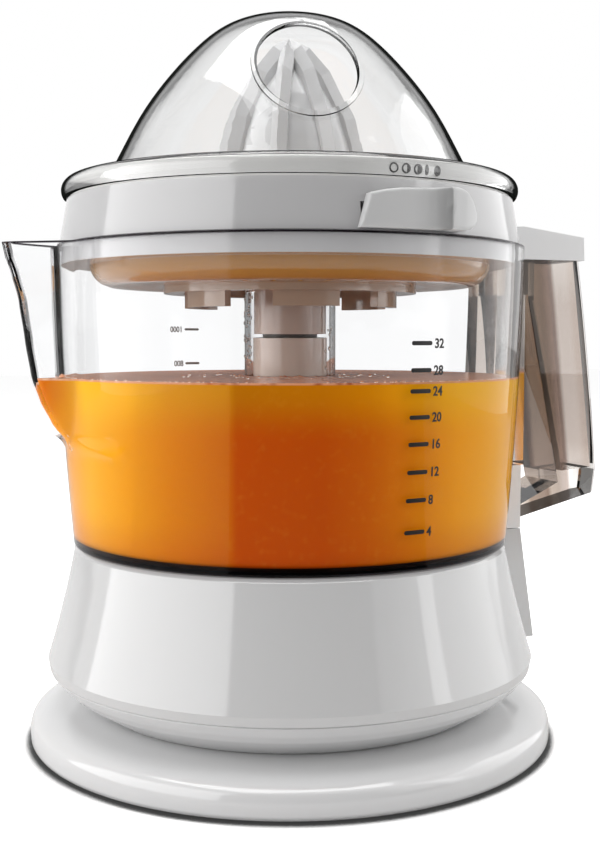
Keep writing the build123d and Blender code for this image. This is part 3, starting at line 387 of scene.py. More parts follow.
# Base pan: the saucer below the housing, a single white moulding with a crease where its floor
# turns up towards the seam.
pan_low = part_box("base_pan")[0]
seam_z = 12.6
pan = turned(
    "base_pan_moulding",
    pan_low.z,
    [
        (0, 0),
        (66.7, 0, 0.8),
        (76.2, 6.4, 0.9),
        (78.8, 8.9, 0.8),
        (81.3, seam_z - 0.5, 0.5),
        (80.9, seam_z - 0.1, 0.3),
        (78.6, seam_z - 0.1, 0.2),
        (78.6, seam_z + 2.2, 0.3),
        (76.8, seam_z + 2.2, 0.3),
        (76.8, seam_z - 1, 1),
        (65.7, 2.5, 0.6),
        (0, 2.5),
    ],
)
dressed(pan, "base", white, "white_plastic", "base_pan")


# Motor housing: white moulding with a spine under the handle and the hollow tower for the shaft.
# The gland for the cord and the rubber ring below the disc belong to the same base.
def coated(material, *names):
    """Gives CAD nodes a real finish."""
    for name in names:
        for place in nodes[name].material_slots:
            place.material = material


def tinted_below(material, clean_z, tinted_z, tint):
    """Gives a moulding's lower part another tone, blended between two heights."""
    tree = material.node_tree
    shader = tree.nodes["Principled BSDF"]
    clean = shader.inputs["Base Color"].links[0].from_socket
    height = ranged(tree, own_axes(tree)["Z"], clean_z, tinted_z, smooth=True)
    tinted = mixed(tree, height, clean, tint)
    tree.links.new(tinted.outputs["Result"], shader.inputs["Base Color"])
    return material


# Painted light: the tower above the housing has a warm tone that stands for juice-coloured light in
# the chimney; the housing below stays white.
tower_painted_juice_light, tower_painted_juice_light_mottle, tower_h = (0.74, 0.60, 0.51), (0.71, 0.57, 0.48), 0.065
housing_white = moulded("white_housing_and_tower_plastic", tower_painted_juice_light, tower_painted_juice_light_mottle, 0.08, glare=1.0)
tower_foot_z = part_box("motor_housing")[1].z - tower_h
tinted_below(housing_white, tower_foot_z, tower_foot_z - 0.002, (0.745, 0.745, 0.745))
coated(housing_white, "motor_housing")
grey_rubber = moulded("foot_rubber", (0.16, 0.16, 0.17), (0.12, 0.12, 0.13), 0.55, 0.8, 140.0)
coated(grey_rubber, "foot_ring", "cord_gland")


# Works inside the base: motor with its coil and rotor, gears, pin, bushes, shaft, clip, spring and
# switch, in the metals and plastics of such a drive.
def metal(name, colour, shade_colour, polish, wear=0.6, ripple=180.0):
    """Bare metal: moulded's mottling and hairlines on a metallic shader."""
    material = moulded(name, colour, shade_colour, polish, wear, ripple)
    material.node_tree.nodes["Principled BSDF"].inputs["Metallic"].default_value = 1.0
    return material


zinc_steel = metal("zinc_screw_steel", (0.62, 0.62, 0.60), (0.50, 0.50, 0.49), 0.28)
pressed_steel = metal("pressed_steel", (0.55, 0.55, 0.56), (0.46, 0.46, 0.48), 0.34)
ground_steel = metal("ground_steel", (0.66, 0.66, 0.67), (0.6, 0.6, 0.62), 0.16)
spring_steel = metal("spring_steel", (0.42, 0.42, 0.43), (0.34, 0.34, 0.36), 0.25)
copper = metal("enamelled_copper", (0.62, 0.26, 0.12), (0.48, 0.17, 0.08), 0.3, 0.3, 500.0)
rotor_iron = metal("rotor_iron", (0.38, 0.38, 0.39), (0.3, 0.3, 0.31), 0.38)
bronze = metal("sintered_bronze", (0.6, 0.44, 0.24), (0.5, 0.35, 0.18), 0.42)
acetal = moulded("acetal_gear", (0.74, 0.73, 0.68), (0.68, 0.67, 0.61), 0.36)
switch_black = moulded("black_switch_plastic", (0.05, 0.05, 0.055), (0.035, 0.035, 0.04), 0.4)
plunger_red = moulded("red_plunger_plastic", (0.5, 0.07, 0.05), (0.42, 0.05, 0.04), 0.35)
coated(zinc_steel, "housing_screws", "disc_screws", "plate_screws")
coated(pressed_steel, "gear_plate", "motor_can")
coated(ground_steel, "drive_shaft", "idler_pin", "shaft_clip")
coated(spring_steel, "return_spring")
coated(copper, "stator_coil")
coated(rotor_iron, "rotor")
coated(bronze, "lower_bush", "upper_bush")
coated(acetal, "shaft_gear", "idler_gear")
coated(switch_black, "switch_body", "motor_cap")
coated(plunger_red, "switch_plunger")


# Jug: clear moulding with a rounded foot, a slightly swelling wall, a narrow spout and a chimney
# in the middle for the tower. Its edges and thick lips are painted dark, a painted shade for what
# thick clear plastic refracts.
def clear_plastic(
    name, tint, edge, edge_from=0.72, edge_to=0.97, ior=1.49, outline_from=None, lips=()
):
    """Clear moulding with painted shade: dark where it is seen edge on and at its thick lips, and
    open to lamps.
    """
    material = bpy.data.materials.new(name)
    material.use_nodes = True
    tree = material.node_tree
    shader = tree.nodes["Principled BSDF"]
    leave = tree.nodes["Material Output"]
    shader.inputs["Transmission Weight"].default_value = 1.0
    shader.inputs["IOR"].default_value = ior
    surface = tree.nodes.new("ShaderNodeGroup")
    surface.node_tree = handled
    surface.inputs["Ripple Scale"].default_value = 35.0
    surface.inputs["Wear"].default_value = 0.25
    gloss = ranged(tree, surface.outputs["Rub"], to_min=0.012, to_max=0.062)
    tree.links.new(gloss, shader.inputs["Roughness"])
    slant = tree.nodes.new("ShaderNodeLayerWeight")
    slant.inputs["Blend"].default_value = 0.5
    facing = slant.outputs["Facing"]
    # Painted shade: the tone turns to the edge colour where the wall is seen edge on, standing for
    # what thick clear plastic refracts and reflects.
    tone = mixed(tree, ranged(tree, facing, edge_from, edge_to, smooth=True), tint, edge)
    tone.name = "wall_tone"
    colour = tone.outputs["Result"]
    # Painted shade: darker bands at the thick lips.
    painted_lip_shade = (edge[0] * 0.3, edge[1] * 0.2, edge[2] * 0.3)
    height = own_axes(tree)["Z"]
    for dark_z, clear_z in lips:
        lip = ranged(tree, height, clear_z, dark_z)
        colour = mixed(tree, lip, colour, painted_lip_shade).outputs["Result"]
    tree.links.new(colour, shader.inputs["Base Color"])
    # Painted outline: a dark matt shader takes over where the wall turns fully away.
    if outline_from is not None:
        turned_away = ranged(tree, facing, outline_from, outline_from + 0.06)
        painted_dark_edge = tree.nodes.new("ShaderNodeBsdfDiffuse")
        painted_dark_edge.inputs["Color"].default_value = (*edge, 1)
        outlined = tree.nodes.new("ShaderNodeMixShader")
        tree.links.new(turned_away, outlined.inputs[0])
        tree.links.new(shader.outputs[0], outlined.inputs[1])
        tree.links.new(painted_dark_edge.outputs[0], outlined.inputs[2])
        shader = outlined
    path = tree.nodes.new("ShaderNodeLightPath")
    through = tree.nodes.new("ShaderNodeBsdfTransparent")
    through.inputs["Color"].default_value = (*tint, 1)
    choice = tree.nodes.new("ShaderNodeMixShader")
    tree.links.new(path.outputs["Is Shadow Ray"], choice.inputs[0])
    tree.links.new(shader.outputs[0], choice.inputs[1])
    tree.links.new(through.outputs[0], choice.inputs[2])
    tree.links.new(choice.outputs[0], leave.inputs["Surface"])
    return material


def between(table, at):
    """Smooth value between rows of (height, value), low to high."""
    if at <= table[0][0]:
        return table[0][1]
    for (low, a), (high, b) in zip(table, table[1:]):
        if at <= high:
            share = (at - low) / (high - low)
            return a + (b - a) * share * share * (3 - 2 * share) * 0.35 + (b - a) * share * 0.65
    return table[-1][1]


jug_low, jug_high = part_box("jug")
jug_h = (jug_high.z - jug_low.z) * 1000
jug_wall = 2.5
foot_r, mid_r, rim_r = 72.9, 76.4, 78.0
spout_foot = 34.0
spout_spread = 0.45
spout_reach = (
    (35.0, 75.6),
    (40.7, 80.6),
    (48.7, 84.6),
    (56.0, 87.1),
    (67.5, 88.9),
    (79.9, 90.6),
    (89.1, 93.0),
    (93.4, 94.6),
    (98.0, 95.5),
)
spout_half = ((35.0, 1.0), (40.0, 4.5), (46.0, 7.8), (54.0, 10.0), (70.0, 11.2), (98.0, 12.5))


def jug_wall_r(up):
    """Outer radius of the round wall at a height above the jug's foot."""
    share = max(0.0, min(1.0, up / jug_h))
    pull = 2 * mid_r - (foot_r + rim_r) / 2
    return foot_r * (1 - share) ** 2 + pull * 2 * share * (1 - share) + rim_r * share**2


def spout_r(up, angle, inset):
    """Radius of the wall and spout together, at an angle from the spout's middle."""
    round_r = jug_wall_r(up) - inset
    if up < spout_foot:
        return round_r
    tip = between(spout_reach, up) - inset * 0.9
    half = max(between(spout_half, up) - inset * 0.75, 0.3)
    rounding = 1.6 / tip
    bearing = math.sqrt(angle * angle + rounding * rounding) - rounding
    x2 = math.sqrt(max(round_r**2 - half**2, 1.0))
    flank = (half * tip) / ((tip - x2) * math.sin(bearing) + half * math.cos(bearing))
    soft = 1.3
    gap = flank - round_r
    return round_r + (gap + math.sqrt(gap * gap + soft * soft)) / 2


def with_spout(piece, foot, wall_from, inset_of):
    """Draws the wall's points out into the spout on the side away from the handle."""
    for point in piece.data.vertices:
        reach = math.hypot(point.co.x, point.co.y) * 1000
        up = (point.co.z - foot) * 1000
        if reach < wall_from or up < spout_foot:
            continue
        angle = math.atan2(point.co.y, -point.co.x)
        if abs(angle) > spout_spread:
            continue
        inset = inset_of(reach, up)
        drawn = spout_r(up, angle, inset) + (reach - (jug_wall_r(up) - inset))
        scale = drawn / reach
        point.co.x *= scale
        point.co.y *= scale


def wall_side(inset, low, high, steps=44):
    """Outline points up the jug's wall, at an inset from its outside."""
    heights = [low + (high - low) * i / steps for i in range(steps + 1)]
    return [(jug_wall_r(up) - inset, up) for up in heights]


foot_z, lip_z = jug_low.z, jug_high.z
chimney_in, chimney_out, chimney_h = 13.4, 15.4, 83.6
clear = clear_plastic(
    "clear_jug_plastic",
    (0.985, 0.987, 0.99),
    (0.05, 0.05, 0.055),
    edge_from=0.88,
    ior=1.22,
    outline_from=0.97,
    # Painted shade: dark bands at the jug's foot and at its lip.
    lips=((foot_z + 0.0017, foot_z + 0.0026), (lip_z - 0.0004, lip_z - 0.0007)),
)
outside = wall_side(0, 2.2, jug_h - 0.5)
inside = wall_side(jug_wall, 5.0, jug_h - 0.5)
jug_outline = [(chimney_in, chimney_h, 0.5), (chimney_in, 0, 0.4), (foot_r + 0.1, 0, 1.8)] + outside
jug_outline += [(rim_r, jug_h, 0.4), (rim_r - jug_wall, jug_h, 0.4)] + inside[::-1]
jug_outline += [(foot_r - jug_wall, jug_wall, 2.0), (chimney_out, jug_wall, 0.8)]
jug_outline += [(chimney_out, chimney_h, 0.5)]
jug = turned("clear_jug", foot_z, jug_outline, steps=320, ease=40)


def jug_inset(reach, up):
    """Tells the wall's inner points from its outer ones."""
    return 0.0 if reach > jug_wall_r(up) - jug_wall / 2 else jug_wall


with_spout(jug, foot_z, 60.0, jug_inset)
dressed(jug, "jug_unit", clear, "clear_plastic", "jug")


# Scale: black ticks and plain numbers printed on the jug, every four ounces at the front and every
# two decilitres at the back, where they show faintly through both walls.
print_ink = moulded("print_ink", (0.012, 0.011, 0.011), (0.02, 0.018, 0.018), 0.3, 0.3, 300.0)
faint_ink = moulded("worn_print_ink", (0.20, 0.17, 0.16), (0.26, 0.23, 0.21), 0.5, 0.6, 300.0)
ink_sunk, ink_proud = 0.03, 0.12


def wrapped(piece, bearing, z, wall_r):
    """Bends a flat print, drawn in millimetres, round an upright wall at a bearing and height."""
    for point in piece.data.vertices:
        radius = wall_r(z + point.co.y)
        turn = math.radians(bearing) + point.co.x / radius
        reach = (radius + point.co.z) * 0.001
        point.co = (reach * math.sin(turn), -reach * math.cos(turn), (z + point.co.y) * 0.001)


def thickened(piece):
    """Gives a flat print its thickness of ink, from just inside the wall to just proud of it."""
    bpy.ops.object.mode_set(mode="EDIT")
    bpy.ops.mesh.select_all(action="SELECT")
    bpy.ops.transform.translate(value=(0, 0, -ink_sunk))
    bpy.ops.object.mode_set(mode="OBJECT")
    ink = piece.modifiers.new("ink", "SOLIDIFY")
    ink.thickness = ink_sunk + ink_proud
    ink.offset = 1.0
    bpy.ops.object.modifier_apply(modifier="ink")
    return piece


def printed_tick(bearing, z, wall_r, length=7.0, width=1.25):
    """Bar with round ends, printed level on the wall."""
    bpy.ops.object.select_all(action="DESELECT")
    bpy.ops.mesh.primitive_grid_add(x_subdivisions=8, y_subdivisions=1, size=1)
    tick = bpy.context.object
    bpy.ops.object.mode_set(mode="EDIT")
    bpy.ops.transform.resize(value=(length, width, 1))
    bpy.ops.mesh.select_mode(type="VERT")
    bpy.ops.mesh.select_all(action="DESELECT")
    bpy.ops.object.mode_set(mode="OBJECT")
    for point in tick.data.vertices:
        point.select = abs(point.co.x) > length * 0.49
    bpy.ops.object.mode_set(mode="EDIT")
    bpy.ops.mesh.bevel(affect="VERTICES", offset=width * 0.42, segments=3)
    bpy.ops.object.mode_set(mode="OBJECT")
    thickened(tick)
    wrapped(tick, bearing, z, wall_r)
    return tick


def printed_number(value, bearing, z, wall_r, start, height):
    """Bold condensed number beside a tick, from a distance to the right of the tick's middle."""
    bpy.ops.object.select_all(action="DESELECT")
    bpy.ops.object.text_add()
    number = bpy.context.object
    number.data.body = str(value)
    number.data.size = height / 0.7
    number.data.extrude = (ink_sunk + ink_proud) / 2
    number.data.offset = height * 0.034
    number.data.resolution_u = 3
    bpy.ops.object.convert(target="MESH")
    number = bpy.context.object
    bpy.ops.object.mode_set(mode="EDIT")
    bpy.ops.mesh.select_all(action="SELECT")
    bpy.ops.mesh.remove_doubles(threshold=1e-4)
    bpy.ops.transform.translate(value=(0, -height / 2, (ink_proud - ink_sunk) / 2))
    bpy.ops.transform.resize(value=(0.9, 1, 1), center_override=(0, 0, 0))
    bpy.ops.transform.translate(value=(start, 0, 0))
    bpy.ops.object.mode_set(mode="OBJECT")
    wrapped(number, bearing, z, wall_r)
    return number


def joined(name, pieces):
    """Joins prints into one piece."""
    bpy.ops.object.select_all(action="DESELECT")
    for piece in pieces:
        piece.select_set(True)
    bpy.context.view_layer.objects.active = pieces[0]
    bpy.ops.object.join()
    pieces[0].name = name
    return pieces[0]


def jug_side_r(z):
    """Outer radius of the jug's wall at a height above the worktop."""
    return jug_wall_r(z - foot_z * 1000)


ounce_marks = (
    (32, 132.1),
    (28, 124.4),
    (24, 118.4),
    (20, 110.9),
    (16, 103.1),
    (12, 95.0),
    (8, 86.8),
    (4, 77.4),
)
millilitre_marks = ((1000, 137.0), (800, 123.7), (600, 110.5), (400, 96.6), (200, 81.5))
front_bearing, back_bearing = 7.6, 189
front_scale, back_scale = [], []
for ounces, z in ounce_marks:
    front_scale.append(printed_tick(front_bearing, z, jug_side_r))
    front_scale.append(printed_number(ounces, front_bearing, z, jug_side_r, 4.4, 2.7))
for millilitres, z in millilitre_marks:
    back_scale.append(printed_tick(back_bearing, z, jug_side_r, 6.2, 0.9))
    back_scale.append(printed_number(millilitres, back_bearing, z, jug_side_r, 4.0, 2.2))
dressed(joined("ounce_scale", front_scale), "jug_unit", print_ink, "switch_plastic")
dressed(joined("millilitre_scale", back_scale), "jug_unit", faint_ink, "switch_plastic")


# Juice: cloudy with pulp, it fills the jug a little past the 24 ounce tick and wets the plastic, so
# nothing shows between them. Its colour holds painted light and shade: lighter at its thin sides
# and top, redder and darker in the middle where the chimney takes the light, and darker towards the
# bottom.
juice_top = 55.6
wet = 0.12
across_from, across_to = -96.0, 76.0
# Painted shade: the deep orange darkens the juice towards the bottom.
deep_orange_painted_shade, fleck_orange, film_orange = (0.62, 0.07, 0.0), (0.95, 0.48, 0.05), (0.80, 0.36, 0.20)
# Painted reflection and shadow on the top surface: pale where it mirrors the room, dark behind the
# chimney.
juice_top_painted_light = (
    (-79, (0.95, 0.60, 0.40)),
    (-50, (0.85, 0.48, 0.34)),
    (-22, (0.62, 0.16, 0.05)),
    (-14, (0.30, 0.045, 0.005)),
    (16, (0.34, 0.05, 0.006)),
    (26, (0.66, 0.22, 0.08)),
    (70, (0.80, 0.45, 0.18)),
)
# Painted light and shade across the body: lighter at the thin sides, red and dark before the
# chimney.
juice_body_painted_shade = (
    (-82, (0.95, 0.42, 0.03)),
    (-77, (0.78, 0.20, 0.002)),
    (-71, (0.93, 0.37, 0.01)),
    (-60, (0.97, 0.46, 0.012)),
    (-47, (0.88, 0.34, 0.002)),
    (-34, (0.78, 0.24, 0.0)),
    (-17, (0.68, 0.16, 0.0)),
    (-14.5, (0.58, 0.08, 0.0)),
    (10, (0.60, 0.085, 0.0)),
    (22, (0.68, 0.13, 0.001)),
    (32, (0.80, 0.21, 0.003)),
    (50, (1.0, 0.39, 0.0)),
    (66, (1.0, 0.47, 0.002)),
    (76, (0.98, 0.44, 0.01)),
)
juice_near_top_painted_light = (
    (-82, (0.90, 0.42, 0.01)),
    (-77, (0.76, 0.17, 0.0)),
    (-71, (0.84, 0.28, 0.01)),
    (-62, (1.0, 0.55, 0.02)),
    (-47, (0.95, 0.46, 0.005)),
    (-34, (0.78, 0.32, 0.003)),
    (-17, (0.72, 0.28, 0.001)),
    (-14.5, (0.56, 0.18, 0.0)),
    (10, (0.66, 0.21, 0.0)),
    (22, (0.78, 0.27, 0.0)),
    (30, (0.92, 0.36, 0.003)),
    (50, (1.0, 0.50, 0.006)),
    (76, (1.0, 0.52, 0.01)),
)


def colour_ramp(tree, share, stops, first, last):
    """Colours at stops in millimetres, between the first and the last."""
    made = tree.nodes.new("ShaderNodeValToRGB")
    elements = made.color_ramp.elements
    while len(elements) < len(stops):
        elements.new(0.5)
    for element, (at, colour) in zip(elements, stops):
        element.position = (at - first) / (last - first)
        element.color = (*colour, 1)
    tree.links.new(share, made.inputs["Fac"])
    return made.outputs["Color"]


def juice_finish():
    """Cloudy orange juice, with painted light at its thin sides and top and painted shade before
    the chimney.
    """
    material = bpy.data.materials.new("orange_juice")
    material.use_nodes = True
    tree = material.node_tree
    shader = tree.nodes["Principled BSDF"]
    place = tree.nodes.new("ShaderNodeTexCoord")
    # The painted light and shade run across the rest view, turned by the camera's bearing but fixed
    # to the juice.
    turn = tree.nodes.new("ShaderNodeMapping")
    turn.inputs["Rotation"].default_value = (0, 0, math.radians(camera_turn))
    tree.links.new(place.outputs["Object"], turn.inputs["Vector"])
    split = tree.nodes.new("ShaderNodeSeparateXYZ")
    tree.links.new(turn.outputs["Vector"], split.inputs[0])
    across = ranged(tree, split.outputs["X"], across_from * 0.001, across_to * 0.001)

    def depth_band(low, high):
        return ranged(tree, split.outputs["Z"], low, high, smooth=True)

    def ramp(stops):
        return colour_ramp(tree, across, stops, across_from, across_to)

    def blend(factor, first, second):
        return mixed(tree, factor, first, second).outputs["Result"]

    colour = blend(depth_band(0.104, 0.1195), ramp(juice_body_painted_shade), ramp(juice_near_top_painted_light))
    # Painted shade: darker towards the bottom.
    deep = blend(depth_band(0.082, 0.067), colour, deep_orange_painted_shade)
    pulp = tree.nodes.new("ShaderNodeTexNoise")
    pulp.inputs["Scale"].default_value = 420.0
    pulp.inputs["Detail"].default_value = 5.0
    tree.links.new(place.outputs["Object"], pulp.inputs["Vector"])
    flecks = ranged(tree, pulp.outputs["Fac"], 0.55, 0.85, to_max=0.12)
    body_colour = blend(flecks, blend(0.35, colour, deep), fleck_orange)
    froth = tree.nodes.new("ShaderNodeTexVoronoi")
    froth.inputs["Scale"].default_value = 330.0
    tree.links.new(place.outputs["Object"], froth.inputs["Vector"])
    film = ranged(tree, froth.outputs["Distance"], 0.15, 0.6)
    surface_colour = blend(film, ramp(juice_top_painted_light), film_orange)
    top_z = foot_z + juice_top * 0.001
    at_top = depth_band(top_z - 0.0007, top_z - 0.00045)
    colour = blend(at_top, body_colour, surface_colour)
    tree.links.new(colour, shader.inputs["Base Color"])
    shader.inputs["Roughness"].default_value = 0.16
    shader.inputs["IOR"].default_value = 1.35
    shader.inputs["Specular IOR Level"].default_value = 0.12
    return material


juice_side = wall_side(jug_wall - wet, 5.0, juice_top)
juice_in, juice_foot = chimney_out - wet, jug_wall - wet
juice_outline = [(juice_in, juice_top, 0), (juice_in, juice_foot, 0.6)]
juice_outline += [(foot_r - juice_foot, juice_foot, 2.0)] + juice_side
juice_outline += [(60, juice_top - 0.35), (40, juice_top - 0.4), (20, juice_top - 0.3)]
juice = turned("orange_juice", foot_z, juice_outline, steps=320, ease=40)
with_spout(juice, foot_z, 62.0, lambda reach, up: juice_foot)
dressed(juice, "jug_unit", juice_finish(), "clear_plastic")


# Bubbles and drops: froth along the juice's edge and round the chimney, and splashes of juice and
# water that cling to the chimney's wall.
def beads(name, places, stretch=1.0):
    """Small round beads, modelled once and copied to each (centre, radius), all in one piece."""
    centre, radius = places[0]
    bpy.ops.object.select_all(action="DESELECT")
    bpy.ops.mesh.primitive_uv_sphere_add(segments=8, ring_count=6, radius=radius)
    piece = bpy.context.object
    piece.name = name
    bpy.ops.object.shade_smooth()
    bpy.ops.object.mode_set(mode="EDIT")
    bpy.ops.mesh.select_all(action="SELECT")
    bpy.ops.transform.resize(value=(1, 1, stretch))
    bpy.ops.transform.translate(value=centre)
    for (here, old), (there, new) in zip(places, places[1:]):
        bpy.ops.mesh.duplicate_move(TRANSFORM_OT_translate={"value": there - here})
        bpy.ops.transform.resize(value=(new / old,) * 3, center_override=there)
    bpy.ops.object.mode_set(mode="OBJECT")
    return piece


def on_wall(radius_mm, bearing, z):
    """Point at a radius and a bearing, on a round wall."""
    turn = math.radians(bearing)
    return Vector((math.sin(turn), -math.cos(turn), 0)) * (radius_mm * 0.001) + Vector((0, 0, z))


chance = random.Random(11)
juice_top_z = foot_z + juice_top * 0.001
inner_wall_r = jug_wall_r(juice_top) - jug_wall
froth_patches = (
    (-88, 12, 20),
    (-62, 8, 16),
    (-45, 10, 22),
    (-26, 6, 8),
    (2, 9, 20),
    (24, 10, 14),
)
froth = []
for patch_bearing, patch_width, count in froth_patches:
    for _ in range(count):
        size = chance.uniform(0.12, 0.42)
        bearing = chance.gauss(patch_bearing, patch_width)
        centre = on_wall(inner_wall_r - size - 0.1, bearing, juice_top_z + size * 0.0004)
        froth.append((centre, size * 0.001))
for _ in range(60):
    size = chance.uniform(0.2, 0.6)
    reach = chimney_out + 0.2 + size + abs(chance.gauss(0, 9))
    bearing = chance.uniform(-150, 120)
    centre = on_wall(reach, bearing, juice_top_z - 0.0003 + size * 0.0004)
    froth.append((centre, size * 0.001))
# Painted shade: the bubbles turn a dark warm tone at their edges.
bubble_film = clear_plastic("froth_bubbles", (0.99, 0.93, 0.86), (0.45, 0.25, 0.14), ior=1.33)
dressed(beads("juice_froth", froth), "jug_unit", bubble_film, "clear_plastic")

splash_levels = (0.1225, 0.1275, 0.1345, 0.1455)
splashes = []
for _ in range(46):
    size = chance.uniform(0.16, 0.45)
    bearing = chance.uniform(-112, -76)
    centre = on_wall(chimney_out - 0.05, bearing, chance.uniform(0.122, 0.149))
    splashes.append((centre, size * 0.001))
for _ in range(12):
    size = chance.uniform(0.25, 0.5)
    bearing = chance.uniform(28, 50)
    z = chance.choice(splash_levels) + chance.uniform(0, 0.003)
    splashes.append((on_wall(chimney_out - 0.1, bearing, z), size * 0.001))
# Painted shade: the drops turn dark at their edges.
drop_tint, drop_painted_edge_shade = (0.98, 0.97, 0.95), (0.08, 0.05, 0.04)
drop_gloss = clear_plastic("clinging_drops", drop_tint, drop_painted_edge_shade, 0.55, 0.9, ior=1.33)
dressed(beads("chimney_drops", splashes, stretch=1.5), "jug_unit", drop_gloss, "clear_plastic")


# Handle: smoky clear moulding with a hollow grip, closed by a white cap above, with a white block
# at its foot against the jug's wall. Upright streaks of painted light and shade stand for the depth
# and shadow of its ribs and hollow walls.
def streaked(material, stops, lean, level_z, sockets=("A",)):
    """Runs painted light and shade in upright streaks across X, which may lean out as they fall."""
    tree = material.node_tree
    axes = own_axes(tree)
    drop = combined(tree, "SUBTRACT", axes["Z"], level_z)
    reach = combined(tree, "ADD", axes["X"], combined(tree, "MULTIPLY", drop, lean))
    first, last = stops[0][0], stops[-1][0]
    share = ranged(tree, reach, first * 0.001, last * 0.001)
    streaks = colour_ramp(tree, share, stops, first, last)
    for socket in sockets:
        tree.links.new(streaks, tree.nodes["wall_tone"].inputs[socket])
    return material


smoky = clear_plastic(
    "smoky_handle_plastic", (0.86, 0.78, 0.74), (0.05, 0.03, 0.025), 0.82, 0.96, outline_from=0.93
)
# Painted light and shade: pale streaks where the grip shows light, dark brown where its ribs and
# hollow walls are in shade.
grip_painted_shade_streaks = (
    (72, (0.98, 0.95, 0.92)),
    (78.5, (0.98, 0.95, 0.92)),
    (79.5, (0.52, 0.42, 0.37)),
    (84, (0.42, 0.34, 0.28)),
    (87, (0.20, 0.14, 0.10)),
    (92, (0.17, 0.12, 0.09)),
    (96, (0.30, 0.22, 0.19)),
    (97.5, (0.99, 0.98, 0.96)),
    (103, (1.0, 0.98, 0.96)),
    (104, (0.96, 0.92, 0.88)),
    (108.5, (0.94, 0.89, 0.85)),
    (110, (0.30, 0.23, 0.20)),
)
grip_lean = 0.115
streaked(smoky, grip_painted_shade_streaks, grip_lean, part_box("handle")[1].z)
coated(smoky, "handle")
# Painted light: the cap and the foot block are a lighter copy of the white plastic, so that they
# read lit.
cap_white_painted_light = moulded("white_cap_plastic", (0.96, 0.96, 0.96), (0.94, 0.94, 0.945), 0.2, glare=0.6)
coated(cap_white_painted_light, "handle_cap", "handle_foot")


# Collector and pulp basket: white mouldings that hang in the jug's rim. Painted shade greys the
# collar below the light rim, and below the skirt the bowl and its ring are tinted warm and dark,
# partly juice stain and partly painted shade and painted juice-coloured reflected light.
collector_low, collector_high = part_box("collector")
stained_and_shaded = moulded("stained_white_plastic", (0.80, 0.79, 0.78), (0.77, 0.76, 0.74), 0.09, glare=1.0)
# Painted shade greys the collar; the bowl and ring tints are part juice stain, part painted shade
# and reflected juice light.
collar_painted_shade, bowl_stain_and_painted_shade, ring_stain_and_painted_shade = (0.60, 0.595, 0.60), (0.46, 0.22, 0.045), (0.44, 0.32, 0.23)
rim_h, lip_gap, skirt_h = 0.005, 0.0003, 0.0063
collar_top_z = collector_high.z - rim_h
skirt_foot_z = lip_z + lip_gap - skirt_h
tinted_below(stained_and_shaded, collar_top_z + 0.0001, collar_top_z - 0.0001, collar_painted_shade)
tinted_below(stained_and_shaded, skirt_foot_z + 0.0002, skirt_foot_z - 0.0002, bowl_stain_and_painted_shade)
tinted_below(stained_and_shaded, collector_low.z + 0.0075, collector_low.z + 0.0065, ring_stain_and_painted_shade)
coated(stained_and_shaded, "collector", "pulp_basket")


# Pulp lever: white moulding with a thumb scoop that rises to a sharp ridge, a pad beyond it and
# rounded edges. Its neck passes through the collar's wall to the basket, which it turns.
lever_white = moulded("lever_plastic", (0.70, 0.70, 0.70), (0.68, 0.68, 0.685), 0.28, glare=0.4)
# Painted shade darkens the scoop towards the ridge, with a painted highlight just beyond the
# ridge's edge.
lever_painted_shade_tones = (
    (-11, (0.70, 0.70, 0.70)),
    (6, (0.69, 0.69, 0.69)),
    (13, (0.60, 0.60, 0.60)),
    (16.9, (0.34, 0.34, 0.34)),
    (17.3, (0.72, 0.72, 0.72)),
    (24, (0.66, 0.66, 0.66)),
    (30, (0.68, 0.68, 0.68)),
)
streaked(lever_white, lever_painted_shade_tones, 0.0, 0.0, ("A", "B"))
lever_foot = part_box("pulp_lever")[0].z * 1000
lever_from, lever_to, lever_slant = -7.5, 21, 2.3
lever_round = 1.2
degree_mm = 1.35
collar_foot_r, collar_taper = 76.75, 0.18
lever_top = (
    (-8, 8.8),
    (-5.2, 9.7),
    (-2, 10.7),
    (2, 11.4),
    (8, 11.7),
    (12, 12),
    (14.5, 12),
    (17, 11.2),
    (19, 9.2),
    (20.4, 6.2),
    (lever_to, 4.4),
)
lever_bottom = ((-8, 0), (16.5, 0), (19, 0.8), (20.4, 2.2), (lever_to, 4.2))
lever_face = (
    (-8, 78.8),
    (-4, 79),
    (4, 79.2),
    (8, 79.5),
    (9.8, 80.1),
    (11, 81.4),
    (11.8, 83.3),
    (12.3, 83.4),
    (16, 82.4),
    (lever_to, 80.4),
)


def along(stops, at):
    """Height of a line through the given stops."""
    for (low, first), (high, second) in zip(stops, stops[1:]):
        if at <= high:
            return first + (second - first) * max(0.0, (at - low) / (high - low))
    return stops[-1][1]


def lever_point(across, up, outside):
    """Point of the lever's face or, where it meets the collar, of its back."""
    start = lever_from + lever_slant * up
    bearing = start + (lever_to - start) * across
    low = along(lever_bottom, bearing)
    high = along(lever_top, bearing)
    z = low + (high - low) * up
    radius = collar_foot_r - z * collar_taper
    if outside:
        from_ends = min(bearing - start, lever_to - bearing) * degree_mm
        inwards = 1 - min(min(z - low, high - z, from_ends) / lever_round, 1)
        radius = along(lever_face, bearing) - lever_round * (1 - math.sqrt(1 - inwards * inwards))
    return on_wall(radius, bearing, (lever_foot + z) * 0.001)


